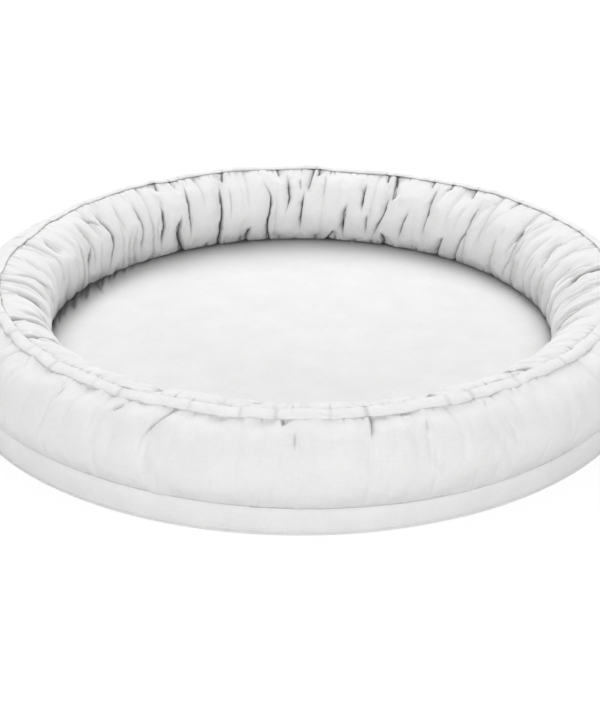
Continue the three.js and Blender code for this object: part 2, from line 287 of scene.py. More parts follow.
# %% [markdown]
# ## Cotton
# The cover is plain-woven cotton, washed once. Close by it shows threads of uneven thickness both ways,
# and further off faint crinkles and a slight mottle. Each cloth piece carries a UV map in metres, laid out
# as the piece was cut, so the threads have the same size everywhere and follow the cloth. Deep in a fold
# or a seam hardly any light comes back, and the mesh is coarser than such a fold. So that shade is painted:
# each piece also carries an attribute of painted shade, which runs from 0 in the open to 1 where it is
# darkest, and the cotton is painted darker with it. It holds the painted shade of creases, seams and
# pinches, and a painted shadow near the bolster's foot.

# %% Cotton material
thread_width = 1.7 * mm
thread_run = 13 * mm
crinkle_size = 9 * mm
mottle_size = 50 * mm
darkest_thread = 0.945
lightest_thread = 1.045
# The darkest painted shade, as a share of the cotton's own colour.
painted_shade_tone = 0.14


def cotton(name, colour, crinkle_depth=0.5 * mm, thread_depth=0.15 * mm):
    """Washed plain-woven cotton in one colour, read from the piece's own UV map in metres."""
    made, tree, add = material(name)
    coordinates = add("ShaderNodeTexCoord").outputs["UV"]

    def noise(scale_x, scale_y, detail):
        place = add("ShaderNodeMapping", Vector=coordinates, Scale=(1 / scale_x, 1 / scale_y, 1))
        return add("ShaderNodeTexNoise", Vector=place.outputs[0], Scale=1.0, Detail=detail).outputs["Fac"]

    def mix(a, b, share):
        node = add("ShaderNodeMix", data_type="FLOAT")
        node.inputs[0].default_value = share
        tree.links.new(a, node.inputs[2])
        tree.links.new(b, node.inputs[3])
        return node.outputs[0]

    warp = noise(thread_width, thread_run, 1.0)
    weft = noise(thread_run, thread_width, 1.0)
    weave = mix(warp, weft, 0.5)
    broad_crinkle = noise(crinkle_size, crinkle_size * 1.6, 2.5)
    small_crinkle = noise(0.45 * crinkle_size, 0.5 * crinkle_size, 1.0)
    crinkle = mix(broad_crinkle, small_crinkle, 0.35)
    mottle = noise(mottle_size, mottle_size, 2.0)

    tone = mix(weave, mottle, 0.45)
    threads = two_tones(add, tone, colour, darkest_thread, lightest_thread, start=0.3, end=0.7)

    # Painted shade: the attribute mixes the threads' colour towards its darkest painted tone.
    crease = add("ShaderNodeAttribute", attribute_name="crease")
    shaded = add("ShaderNodeMix", data_type="RGBA", blend_type="MIX")
    tree.links.new(crease.outputs["Fac"], shaded.inputs["Factor"])
    tree.links.new(threads, shaded.inputs[6])
    shaded.inputs[7].default_value = (*[channel * painted_shade_tone for channel in colour], 1)

    roughness = add("ShaderNodeMapRange", Value=weave)
    roughness.inputs["To Min"].default_value = 0.82
    roughness.inputs["To Max"].default_value = 0.98

    coarse = add("ShaderNodeBump", Height=crinkle, Strength=1.0, Distance=crinkle_depth)
    fine = add("ShaderNodeBump", Height=weave, Strength=1.0, Distance=thread_depth, Normal=coarse.outputs[0])
    shader = add(
        "ShaderNodeBsdfPrincipled", Base_Color=shaded.outputs[2], Roughness=roughness.outputs[0],
        Normal=fine.outputs[0],
    )
    shader.inputs["Specular IOR Level"].default_value = 0.2
    shader.inputs["Sheen Weight"].default_value = 0.12
    shader.inputs["Sheen Roughness"].default_value = 0.6
    add("ShaderNodeOutputMaterial", Surface=shader.outputs[0])
    return made


cotton_colour = (0.83, 0.83, 0.827)
cover_cotton = cotton("cover_cotton", cotton_colour)
flat_cotton = cotton("mattress_cotton", cotton_colour, crinkle_depth=0.18 * mm)
print("threads", thread_width / mm, "mm wide")

# %% [markdown]
# ## Working with cloth as arrays
# Every cloth piece starts as an open tube: a cylinder primitive whose upright edges are subdivided. Two
# numbers then place each point: its turn round the lounger, in degrees from the back, and its share of
# the way across the cloth. A piece's form is a rule from these two numbers to a radius and a height, so
# the pieces that meet at a seam can use the same rule.

# %% Helpers for points
def smooth(value):
    """Rises from 0 to 1 without a corner."""
    value = np.clip(value, 0, 1)
    return value * value * (3 - 2 * value)


def wrap(degrees):
    """The same direction, between -180 and 180 degrees."""
    return (degrees + 180) % 360 - 180


def points_of(mesh):
    flat = np.zeros(len(mesh.vertices) * 3)
    mesh.vertices.foreach_get("co", flat)
    return flat.reshape(-1, 3)


def set_points(mesh, points):
    mesh.vertices.foreach_set("co", points.ravel())
    mesh.update()


def around(turn, radius, height):
    """Points at a turn from the back, positive to the right as the camera sees it."""
    angle = np.radians(90 - turn)
    return np.stack([radius * np.cos(angle), radius * np.sin(angle), height * np.ones_like(angle)], -1)


def unevenness(turn, share, cells_round, cells_across, seed):
    """Soft random waves between -1 and 1 that close on themselves round the ring."""
    grid = np.random.default_rng(seed).uniform(-1, 1, (cells_across + 1, cells_round))
    x = (turn % 360) / 360 * cells_round
    y = np.clip(share, 0, 1) * cells_across
    left = np.floor(x).astype(int) % cells_round
    low = np.minimum(np.floor(y).astype(int), max(cells_across - 1, 0))
    high = np.minimum(low + 1, cells_across)
    right = (left + 1) % cells_round
    across = smooth(x - np.floor(x))
    up = smooth(y - low)
    lower = grid[low, left] * (1 - across) + grid[low, right] * across
    upper = grid[high, left] * (1 - across) + grid[high, right] * across
    return lower * (1 - up) + upper * up


# %% An open tube of cloth
def open_tube(name, columns, rows):
    """A closed ring of cloth with a free edge on each side, and each point's turn and share."""
    bpy.ops.object.select_all(action="DESELECT")
    bpy.ops.mesh.primitive_cylinder_add(vertices=columns, radius=1, depth=1, end_fill_type="NOTHING")
    piece = bpy.context.object
    piece.name = name
    piece.data.name = name
    bpy.ops.object.mode_set(mode="EDIT")
    bpy.ops.mesh.select_all(action="DESELECT")
    cage = bmesh.from_edit_mesh(piece.data)
    for edge in cage.edges:
        edge.select = abs(edge.verts[0].co.z - edge.verts[1].co.z) > 0.5
    bmesh.update_edit_mesh(piece.data)
    bpy.ops.mesh.subdivide(number_cuts=rows - 1)
    bpy.ops.object.mode_set(mode="OBJECT")
    points = points_of(piece.data)
    turn = 90 - np.degrees(np.arctan2(points[:, 1], points[:, 0]))
    share = np.round((points[:, 2] + 0.5) * rows) / rows
    return piece, turn, share


def merge_doubles(piece):
    """Closes a piece where its own edges lie on each other, and turns its faces outwards."""
    bpy.context.view_layer.objects.active = piece
    bpy.ops.object.select_all(action="DESELECT")
    piece.select_set(True)
    bpy.ops.object.mode_set(mode="EDIT")
    bpy.ops.mesh.select_all(action="SELECT")
    bpy.ops.mesh.remove_doubles(threshold=0.01 * mm)
    bpy.ops.mesh.normals_make_consistent(inside=False)
    bpy.ops.object.mode_set(mode="OBJECT")


def corner_points(mesh):
    """The number of the point at each corner of each face."""
    numbers = np.zeros(len(mesh.loops), dtype=np.int32)
    mesh.loops.foreach_get("vertex_index", numbers)
    return numbers


def set_uv(mesh, pairs):
    """Gives each corner its place on the cut cloth."""
    layer = mesh.uv_layers[0]
    layer.name = "cut"
    layer.data.foreach_set("uv", pairs.ravel())


def lay_out_uv(piece, turn, across, radius):
    """A UV map in metres: along the cloth at the given radius, and across it by the given lengths."""
    mesh = piece.data
    corner_point = corner_points(mesh)
    first = np.zeros(len(mesh.polygons), dtype=np.int32)
    mesh.polygons.foreach_get("loop_start", first)
    count = np.zeros(len(mesh.polygons), dtype=np.int32)
    mesh.polygons.foreach_get("loop_total", count)
    corner_turn = turn[corner_point] % 360
    face_first_turn = np.repeat(corner_turn[first], count)
    corner_turn = corner_turn + 360 * np.round((face_first_turn - corner_turn) / 360)
    set_uv(mesh, np.stack([np.radians(corner_turn) * radius, across[corner_point]], -1))


def give_thickness(piece, thickness):
    """Turns a sheet into cloth of a real thickness, inwards from it, and closes its edges."""
    bpy.context.view_layer.objects.active = piece
    wall = piece.modifiers.new("thickness", "SOLIDIFY")
    wall.thickness = thickness
    wall.offset = -1
    wall.use_rim = True
    bpy.ops.object.modifier_apply(modifier=wall.name)


def finish_cloth(piece, finish, slot_name, *nodes):
    """Smooth shading, the material, the lounger as parent, and hides the model pieces it stands for."""
    piece.data.materials.clear()
    piece.data.materials.append(finish)
    piece.data.shade_smooth()
    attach(piece, "lounger")
    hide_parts(*nodes)
    print(piece.name, len(piece.data.polygons), "faces")


# %% [markdown]
# ## The creases of the bolster
# The cloth of the bolster is longer than the ring, so it is gathered. The slack is not spread evenly: it
# falls into separate creases between broad smooth puffs. A crease starts at the top or the bottom seam,
# or runs all the way, and one side of it leans over the other. The camera sees the inner wall at the
# back, so those creases are placed one by one, and the rest of the ring gets creases of the same
# kind at random. Each one has a depth in millimetres, the side that leans over, a width in millimetres, and
# a path of turns in degrees and shares of the way from the foot, 0, to the crest, 1.

# %% Creases of the inner wall, seen by the camera
seen_inner_creases = [
    (4, 1, 3.0, [(-100, 0.9), (-100, 0.4)]),
    (4, 1, 3.0, [(-93, 0.95), (-90, 0.7), (-88, 0.4)]),
    (6, 1, 2.5, [(-62, 0.55), (-65.5, 0.08)]),
    (4, 1, 2.5, [(-59, 0.9), (-55.5, 0.62)]),
    (7, 1, 2.0, [(-55, 0.95), (-54, 0.55), (-54, 0.4), (-57, 0.03)]),
    (3, 1, 3.0, [(-49, 0.35), (-49.5, 0.05)]),
    (5, 1, 3.0, [(-44.5, 0.85), (-44, 0.5), (-45.5, 0.05)]),
    (7, 1, 2.2, [(-37, 0.75), (-38, 0.3), (-39, 0.08)]),
    (10, 1, 2.8, [(-32.5, 0.5), (-33.5, 0.25), (-32, 0)]),
    (6, 1, 2.2, [(-29, 0.96), (-30, 0.55), (-30, 0.1)]),
    (9, 1, 2.2, [(-20.6, 0.9), (-21, 0.65), (-21.5, 0.15), (-22, 0)]),
    (3, 1, 3.5, [(-18.5, 0.8), (-19, 0.3)]),
    (8, 1, 3.5, [(-13.5, 0.2), (-14.5, 0)]),
    (7, 1, 1.8, [(-10.5, 0.85), (-8.2, 0.6), (-8.8, 0.2), (-8.2, 0)]),
    (7, 1, 2.5, [(-4, 0.94), (-3.5, 0.53), (-4.8, 0.32)]),
    (4, 1, 2.5, [(-1, 0.86), (-0.8, 0.66)]),
    (7, 1, 2.5, [(0, 0.68), (-0.2, 0.1)]),
    (6, 1, 2.5, [(2.2, 0.98), (1, 0.63)]),
    (3, 1, 3.0, [(5.2, 0.95), (5, 0.5)]),
    (8, -1, 3.0, [(9, 0.14), (7, 0)]),
    (9, 1, 2.5, [(11.2, 0.52), (11.2, 0.06)]),
    (8, 1, 2.2, [(15, 0.83), (15.5, 0.4)]),
    (5, 1, 2.5, [(17, 0.38), (17.5, 0.14)]),
    (6, 1, 2.5, [(19.5, 1), (20, 0.86)]),
    (9, -1, 2.2, [(21.5, 0.99), (23, 0.56)]),
    (7, 1, 2.0, [(21.5, 0.72), (21.8, 0.4), (18.8, 0.04)]),
    (8, -1, 3.0, [(21.6, 0.17), (22.5, 0)]),
    (6, 1, 2.5, [(28, 0.5), (26.5, 0.12)]),
    (8, 1, 2.2, [(32.2, 0.95), (33.5, 0.42), (33, 0.15)]),
    (10, 1, 2.5, [(39.2, 0.26), (37.8, 0)]),
    (7, 1, 1.8, [(44.8, 0.88), (45.8, 0.47), (44, 0.15), (43.2, 0)]),
    (3, 1, 3.0, [(48.5, 0.92), (46.5, 0.74)]),
    (6, 1, 3.0, [(55, 0.27), (56.5, 0)]),
    (7, -1, 2.2, [(60.2, 0.74), (61.2, 0.5)]),
    (7, 1, 2.0, [(61.8, 0.78), (62.5, 0.3), (60, 0.06)]),
    (4, 1, 3.0, [(66, 0.35), (65, 0.08)]),
    (7, 1, 4.5, [(72.8, 0.83), (76.2, 0.4)]),
    (8, 1, 4.5, [(79, 0.32), (80.5, 0.03)]),
    (6, 1, 4.0, [(84, 0.75), (86, 0.15)]),
    (8, -1, 2.2, [(89, 0.98), (89, 0.75), (91, 0.55)]),
    (4, 1, 2.5, [(165, 0.9), (166.5, 0.78)]),
    (5, 1, 2.5, [(-171, 0.93), (-173, 0.82)]),
    (5, 1, 2.0, [(-35.3, 1), (-35.8, 0.87)]),
    (5, -1, 2.0, [(-31.8, 1), (-31.2, 0.86)]),
    (6, 1, 2.0, [(-19, 1), (-19.6, 0.86)]),
    (5, -1, 2.0, [(-6.3, 1), (-5.9, 0.88)]),
    (6, -1, 2.0, [(3.6, 1), (3.2, 0.88)]),
    (5, 1, 2.0, [(30.3, 1), (31, 0.86)]),
    (5, -1, 2.0, [(35, 1), (34.4, 0.87)]),
    (6, 1, 2.0, [(41, 1), (42, 0.84)]),
    (5, 1, 2.0, [(53, 1), (52.6, 0.86)]),
]

# %% Creases of the outer wall, seen by the camera
seen_outer_creases = [
    (2, 1, 3.0, [(-129, 0.97), (-131, 0.82)]),
    (2.5, 1, 3.0, [(-140.5, 0.87), (-140.5, 0.7)]),
    (3.5, 1, 2.6, [(-152, 0.94), (-150.8, 0.76)]),
    (3.6, -1, 5, [(-160, 0.98), (-157.8, 0.68), (-157, 0.55)]),
    (3.5, 1, 2.2, [(-176.5, 1), (-176.5, 0.88)]),
    (3, 1, 2.2, [(-178.4, 0.8), (-178.5, 0.62)]),
    (4.2, 1, 2.2, [(170.5, 1), (170.6, 0.86), (171, 0.7)]),
    (3, 1, 2.2, [(165.5, 1), (165, 0.94)]),
    (3, 1, 2.5, [(162.5, 0.84), (163, 0.72)]),
    (3, 1, 2.5, [(151.8, 0.95), (153, 0.86)]),
]


# %% More creases of the same kind, out of the camera's sight
def more_creases(start, end, spacings, depths, tops, bottoms, seed, widths=(1.8, 3)):
    """Random creases between two turns, some from the top seam and some from the bottom one."""
    draw = np.random.default_rng(seed)
    made = []
    turn = start
    while turn < end:
        high = draw.choice(tops)
        low = draw.choice(bottoms) if high < 0.9 else draw.uniform(0.1, 0.6)
        drift = draw.uniform(-1.5, 1.5)
        lean = draw.choice([-1, 1])
        path = [(turn, high), (turn + drift, (high + low) / 2), (turn + drift * 0.6, low)]
        made.append((draw.uniform(*depths), int(lean), draw.uniform(*widths), path))
        turn += draw.uniform(*spacings)
    return made


tops = [0.98, 0.9, 0.6]
bottoms = [0, 0.05, 0.2]
inner_creases = seen_inner_creases + more_creases(97, 162, (4, 9), (3, 8), tops, bottoms, 11)
inner_creases += more_creases(170, 186, (4, 9), (3, 6), tops, bottoms, 12)
inner_creases += more_creases(192, 256, (4, 9), (3, 8), tops, bottoms, 13)
outer_creases = list(seen_outer_creases)
outer_creases += more_creases(-126, 128, (7, 16), (1.5, 5), [1, 0.97, 0.9], [0.5, 0.7, 0.8], 21)
print(len(inner_creases), "inner creases and", len(outer_creases), "outer ones")

# %% [markdown]
# ## Soft folds
# Between the creases the slack lies in many shallow folds without a sharp floor. They are too many to
# place by eye, so all are drawn at random, in the same form as the creases, and closer together on the
# left and right of the inner wall, which looks ribbed there. They are pressed in after the cloth is
# filled, and darken it only a little.

# %% Soft folds of both walls
tops = [1, 0.97, 0.8, 0.5]
bottoms = [0, 0, 0.3, 0.6]
inner_folds = more_creases(-180, 179, (1.6, 4.5), (1.5, 4), tops, bottoms, 14, widths=(2.2, 5.5))
tops = [1, 0.9, 0.7, 0.5]
bottoms = [0, 0, 0.2]
inner_folds += more_creases(-118, -38, (2.2, 5), (3, 5), tops, bottoms, 19, widths=(1.5, 3))
inner_folds += more_creases(46, 118, (2.2, 5), (3, 5), tops, bottoms, 20, widths=(1.5, 3))
tops = [1, 1, 0.97]
bottoms = [0.75, 0.85, 0.6]
outer_folds = more_creases(-180, 179, (2.5, 7), (0.6, 2), tops, bottoms, 22, widths=(2.5, 6))
soft_folds = {"inner": inner_folds, "outer": outer_folds}
print(len(inner_folds), "soft folds inside and", len(outer_folds), "outside")

# %% [markdown]
# ## Pinches at the seams
# The sewing thread pulls the gathered cloth into small pinches, closest together under the crest band.
# Each one is a dent with a turn, a width, a height and a depth. The ones at the inner foot that the
# camera sees are listed one by one, and the rest are drawn at random.


# %% Pinches at the seams
def random_nips(seed, spacing, widths, heights, depths):
    """Pinches all the way round the ring, at uneven distances."""
    draw = np.random.default_rng(seed)
    places = []
    turn = -180
    while turn < 179:
        size = (draw.uniform(*widths), draw.uniform(*heights), draw.uniform(*depths) ** 1.5)
        places.append((turn, *size))
        turn += draw.uniform(*spacing)
    return places


seen_foot_nips = [
    (-53.3, 4, 9, 3), (-49, 3, 6, 2.5), (-42.4, 4, 7, 3), (-32.9, 5, 9, 3.5), (-25.3, 6, 8, 4),
    (-15.9, 6, 12, 5),
    (-8.8, 3, 8, 4), (-5.6, 6, 6, 3), (-1.5, 6, 5, 2.5), (4, 7, 7, 3.5), (7, 5, 6, 3), (9.2, 4, 12, 3.5),
    (14.5, 5, 6, 3), (19, 6, 7, 3.5), (22, 5, 7, 3), (31.7, 4, 7, 3), (37.8, 4, 12, 5), (43.2, 4, 8, 3.5),
    (56.5, 4, 8, 3.5),
]
top_nips = {
    "inner": random_nips(15, (0.7, 2.6), (0.9, 2), (4, 12), (0.5, 1.8)),
    "outer": random_nips(16, (0.8, 3), (0.9, 2), (3, 9), (0.3, 1.3)),
}
foot_nips = {
    "inner": seen_foot_nips + random_nips(17, (2, 6), (1.5, 4), (4, 10), (0.5, 1.9)),
    "outer": random_nips(18, (0.9, 3), (0.9, 1.8), (3, 8), (0.2, 0.9)),
}
print(len(top_nips["inner"]), "pinches under the band, inside")

# %% [markdown]
# ## What creases and pinches do to the cloth
# Each rule below takes every point of a panel at once, as arrays of turns and shares, and gives one thing:
# where a crease runs, how deep it presses, how dark its painted shade is, how the cloth beside it sinks and
# rises, and how far one side of it leans over the other.

# %% Along and beside a crease
def crease_line(path, share):
    """Turn of a crease at each share, and how much of the crease is there, from 0 to 1."""
    path = sorted((at, turn) for turn, at in path)
    shares = [at for at, turn in path]
    turns = [turn for at, turn in path]
    line = 0
    for step in (-0.06, -0.02, 0.02, 0.06):
        line = line + 0.25 * np.interp(share + step, shares, turns)
    taper = max(0.1, 0.42 * (shares[-1] - shares[0]))
    start = 1 if shares[0] < 0.02 else smooth((share - shares[0] + 0.03) / taper)
    end = 1 if shares[-1] > 0.975 else smooth((shares[-1] + 0.03 - share) / taper)
    return line, start * end


def beside(turn, line, radius):
    """Distance along the cloth from a crease line."""
    return np.radians(wrap(turn - line)) * radius


def each_crease(turn, share, radius, creases):
    """Depth, lean and width of each crease, how much of it is there, and each point's distance from it."""
    for size, lean, width, path in creases:
        line, there = crease_line(path, share)
        yield size, lean, width, there, beside(turn, line, radius)


# %% Pressing the creases in
def draw_columns_in(turn, share, radius, creases, reach=7 * mm, pull=0.55):
    """Moves the columns of points closer together along each crease, where the cloth bends most."""
    shift = np.zeros_like(turn)
    for *_, there, off in each_crease(turn, share, radius, creases):
        shift -= off * pull * np.exp(-(off / reach) ** 2) * there
    return turn + np.degrees(shift / radius)


def press_creases(turn, share, radius, creases):
    """How deep the creases press each point in, and which points they hold."""
    depth = np.zeros_like(turn)
    held = np.zeros_like(turn)
    for size, lean, width, there, off in each_crease(turn, share, radius, creases):
        off = off * lean
        steep = np.exp(-(off / (width * mm)) ** 2)
        gentle = np.exp(-np.abs(off) / (2.2 * width * mm))
        depth = np.maximum(depth, size * mm * there * np.where(off > 0, steep, gentle))
        held = np.maximum(held, (np.abs(off) < 0.11 * size * mm + 0.4 * mm) * there)
    return depth, held


# %% Painted shade, and valleys
thinnest_line = 0.8 * mm
line_for_depth = 0.13
soft_shade_reach = 5 * mm
lip_place = 4.5 * mm
lip_width = 2.8 * mm


def crease_shade(turn, share, radius, creases):
    """Painted shade of the creases at each point, 0 to 1, for the material."""
    shade = np.zeros_like(turn)
    for size, _, _, there, off in each_crease(turn, share, radius, creases):
        dark = np.clip((size - 1.2) / 5.8, 0.08, 1)
        line_width = (thinnest_line + line_for_depth * size * mm) * (0.5 + 0.5 * there)
        sharp = there ** 1.2 * dark * np.exp(-(off / line_width) ** 2)
        soft = there * (0.02 * size * np.exp(-np.abs(off) / soft_shade_reach))
        shade = np.maximum(shade, sharp + soft)
    return shade


def crease_valleys(turn, share, radius, creases, reach=11 * mm, share_of_depth=0.45):
    """The cloth beside a crease sinks towards it, and rises to a lip on the side that leans over."""
    sunk = np.zeros_like(turn)
    lip = np.zeros_like(turn)
    for size, lean, _, there, off in each_crease(turn, share, radius, creases):
        off = off * lean
        depth = size * mm * there
        sunk = np.maximum(sunk, share_of_depth * depth * np.exp(-np.abs(off) / reach))
        lip = np.maximum(lip, 0.3 * depth * np.exp(-((off - lip_place) / lip_width) ** 2))
    return sunk - lip


# %% Pinches
def nips(turn, distance, places):
    """Depth and painted shade of the pinches at a seam. A place is a turn, a width, a height and a depth."""
    dent = np.zeros_like(turn)
    dark = np.zeros_like(turn)
    for place, width, height, depth in places:
        off = beside(turn, place, crest_radius)
        fade = np.exp(-(distance / (height * mm)) ** 1.5)
        narrow = width * mm * (0.35 + 0.65 * fade)
        shape = np.exp(-(off / narrow) ** 2) * fade
        dent = np.maximum(dent, depth * mm * shape)
        floor_line = np.exp(-(off / (0.75 * narrow)) ** 2) * fade ** 1.5
        dark = np.maximum(dark, min(1, 0.27 * depth + 0.1) * floor_line)
    return dent, dark


# %% Leaning over
def lean_over(turn, share, radius, creases, far=1.5 * mm):
    """Moves the cloth on the leaning side of each crease over its slot."""
    slip = np.zeros_like(turn)
    for size, lean, width, there, off in each_crease(turn, share, radius, creases):
        off = off * lean
        lip = smooth(off / (1.2 * width * mm)) * np.exp(-(off / (3 * width * mm)) ** 2)
        slip -= lean * far * min(1, size / 6) * np.where(off > 0, lip, 0) * there
    slip *= smooth((1 - share) / 0.06) * smooth(share / 0.05)
    return turn + np.degrees(slip / radius)


# %% [markdown]
# ## Inflating the bolster's cloth
# The folds come from a cloth simulation. The sheet starts a little inside its final form, with its
# creases pressed in. Its two seams and the bottoms of the creases are held. A negative shrink factor
# makes the cloth a few hundredths longer than it is drawn, and the pressure of the filling blows it out
# between the held lines into puffs. There is no gravity, because the filling carries the cloth.

# %% Cloth simulation
def inflate(piece, held, slack, fullness, pressure, frames):
    """Runs the cloth simulation on a sheet and keeps its last frame.

    held says which points stay, and slack, from 0 to 1, how much of the fullness each point gets.
    """
    pins = piece.vertex_groups.new(name="held")
    pins.add([int(i) for i in np.nonzero(held)[0]], 1.0, "REPLACE")
    tight = piece.vertex_groups.new(name="tight")
    levels = np.round((1 - slack) * 20) / 20
    for level in np.unique(levels[levels > 0]):
        tight.add([int(i) for i in np.nonzero(levels == level)[0]], float(level), "REPLACE")
    cloth = piece.modifiers.new("filling pressure", "CLOTH")
    settings = cloth.settings
    settings.quality = 3
    settings.mass = 0.3
    settings.air_damping = 1
    settings.tension_stiffness = 15
    settings.compression_stiffness = 15
    settings.shear_stiffness = 5
    settings.bending_stiffness = 0.5
    settings.vertex_group_mass = pins.name
    settings.vertex_group_shrink = tight.name
    settings.shrink_min = -fullness
    settings.shrink_max = 0
    settings.use_pressure = True
    settings.uniform_pressure_force = pressure
    settings.effector_weights.gravity = 0
    cloth.point_cache.frame_end = frames + 1
    bpy.context.view_layer.objects.active = piece
    scene = bpy.context.scene
    for step in range(1, frames + 1):
        scene.frame_set(step)
    bpy.ops.object.modifier_apply(modifier=cloth.name)
    scene.frame_set(1)
    piece.vertex_groups.clear()


# %% [markdown]
# ## How the sewn ring leaves the true circle
# A sewn ring is never quite round or level. The crest leans outwards, most at the front, and the whole
# bolster leans a little to the right. Besides, the crest and the seam at the outer foot wander by some
# millimetres. The wander that the photograph shows is written down in two short tables, and finer
# waves are drawn at random. Every piece that meets the crest or that seam uses the same rules, so the
# pieces stay together.

# %% Lean and wander
crest_tilt_back = 2
crest_tilt_front = 16
crest_shift = 7 * mm
lean_reach = 22 * mm
lean_starts = 100 * mm
lean_is_full = 124 * mm

# A turn, and how far the crest lies outwards and upwards there, in millimetres.
crest_places = [
    (-180, 2, -2), (-150, 2, -2), (-140, 2, -2), (-125, 0, 0), (-90, 0, 1), (-72, 0, 1), (-60, 0, 2),
    (-52, 0, 4), (-46, 0, 6), (-36, 0, 5.5), (-31, 0, 3), (-25, 0, 4.5), (-14, 0, 6), (-8, 0, 4),
    (2, 0, 4.5), (7, 0, 1.5), (15, 0, 0.5), (28, 0, 2.5), (35, 0, 1), (42, 0, 4), (55, 2, 4), (62, 4, 3),
    (70, 8, 2), (80, 9, 1), (95, 6, 0), (115, 1, 0), (150, 0, 0), (165, 1, -1), (180, 2, -2),
]
# A turn, and how far the seam at the outer foot lies above its usual height there, in millimetres.
outer_seam_places = [
    (-180, 0), (-170, 1.5), (-155, 3.5), (-140, 5), (-110, 6), (-85, 4), (-60, 1), (-30, 0), (30, 0),
    (70, 1), (100, 4), (125, 4), (140, 1), (155, -1), (165, -1.5), (180, 0),
]


def at_turn(turn, places, column):
    """One column of a table of places, in metres, at each turn."""
    turns = [place[0] for place in places]
    values = [place[column] for place in places]
    return mm * np.interp(wrap(turn), turns, values)


def outer_seam_rise(turn):
    """How far the seam between the boxing band and the bolster lies above its usual height."""
    return at_turn(turn, outer_seam_places, 1)


def ring_waves(turn, *waves):
    """Random waves round the ring, each given by its size, the number of its cells and its seed."""
    return sum(size * unevenness(turn, 0 * turn, cells, 0, seed) for size, cells, seed in waves)


def settle_crest(points):
    """Moves the points near the crest where the sewn ring has them."""
    radius = np.hypot(points[:, 0], points[:, 1])
    turn = 90 - np.degrees(np.arctan2(points[:, 1], points[:, 0]))
    high = smooth((points[:, 2] - lean_starts) / (lean_is_full - lean_starts))
    off = crest_radius - radius
    near = np.exp(-(off / lean_reach) ** 2) * high
    in_front = 0.5 - 0.5 * points[:, 1] / radius
    tilt = crest_tilt_back + (crest_tilt_front - crest_tilt_back) * in_front
    outwards = mm * ring_waves(turn, (1.3, 64, 37), (0.9, 150, 38)) + at_turn(turn, crest_places, 1)
    upwards = mm * ring_waves(turn, (1.0, 80, 39), (0.6, 170, 40)) + at_turn(turn, crest_places, 2)
    lifted = points.copy()
    lifted[:, :2] *= (1 + outwards * near / radius)[:, None]
    lifted[:, 2] += (np.tan(np.radians(tilt)) * off + upwards) * near
    lifted[:, 0] += crest_shift * smooth((points[:, 2] - foot_height) / (crest_height - foot_height))
    return lifted


print("the crest wanders by up to", max(place[2] for place in crest_places), "mm upwards")

# %% [markdown]
# ## The two panels of the bolster
# The inner panel faces the mattress and the outer one faces away. Both run from a foot seam on the
# mattress up to the narrow band on the crest. A panel is drawn along the bolster's round section, in
# equal steps along the cloth, and stops under the edge of the crest band. Once it is filled it gets what
# the simulation is too coarse for: valleys beside the creases, soft folds, gathers and pinches at the
# seams, and the lumps of the fibre. The same places get painted shade in the material, and the foot gets
# a wide weak painted gloom, where little light comes in.

# %% Where the cloth lies before it is filled
band_width = 12 * mm
band_thickness = 2.8 * mm


def cloth_section(side, share):
    """Radius, height and outward direction at equal steps along the cloth, and the steps' lengths."""
    fine = np.linspace(0, 1, 4001)
    radius, height = bolster_wall(side, fine)
    steps = np.hypot(np.diff(radius), np.diff(height))
    along = np.concatenate([[0], np.cumsum(steps)])
    length = along[-1] - 0.5 * band_width + 0.5 * mm
    at = share * length
    slope_radius = np.interp(at, along, np.gradient(radius, along))
    slope_height = np.interp(at, along, np.gradient(height, along))
    out_radius = slope_height * outward[side]
    out_height = -slope_radius * outward[side]
    return np.interp(at, along, radius), np.interp(at, along, height), out_radius, out_height, at


# %% Painted shade of a panel
seam_line = 2.5 * mm
foot_line = 3 * mm
foot_gloom = {"inner": 0.31, "outer": 0.13}
foot_gloom_reach = 26 * mm


def paint_shade(piece, shade):
    """Writes the painted shade, 0 to 1, into the attribute that the cotton reads."""
    layer = piece.data.attributes.new("crease", "FLOAT", "POINT")
    layer.data.foreach_set("value", np.clip(shade, 0, 1))


def panel_shade(side, place, from_foot, from_crest, creases, foot_shade):
    """Painted shade and foot gloom at each point of a panel. place is its turn, share and radius."""
    turn = place[0]
    in_front = 0.5 - 0.5 * np.cos(np.radians(turn))
    at_side = np.sin(np.radians(turn)) ** 2
    seam_shade = 0.6 - 0.5 * in_front + 0.3 * at_side + ring_waves(turn, (0.35, 190, 32))
    fold_shade = 0.35 + 0.25 * at_side
    shade = crease_shade(*place, creases)
    shade = np.maximum(shade, np.clip(seam_shade, 0, 1) * (1 - smooth(from_crest / seam_line)))
    shade = np.maximum(shade, foot_shade * (1 - smooth(from_foot / foot_line)))
    shade = np.maximum(shade, fold_shade * crease_shade(*place, soft_folds[side]))
    shade = np.maximum(shade, nips(turn, from_crest, top_nips[side])[1])
    shade = np.maximum(shade, nips(turn, from_foot, foot_nips[side])[1])
    gloom = foot_gloom[side] * np.exp(-(from_foot / foot_gloom_reach) ** 1.3)
    return 1 - (1 - np.clip(shade, 0, 1)) * (1 - gloom)


# %% Relief of a panel
crest_gathers = 1.1 * mm
crest_gathers_reach = 10 * mm
foot_gathers = 1.0 * mm
foot_gathers_reach = 12 * mm
large_lumps = 0.9 * mm
small_lumps = 0.35 * mm


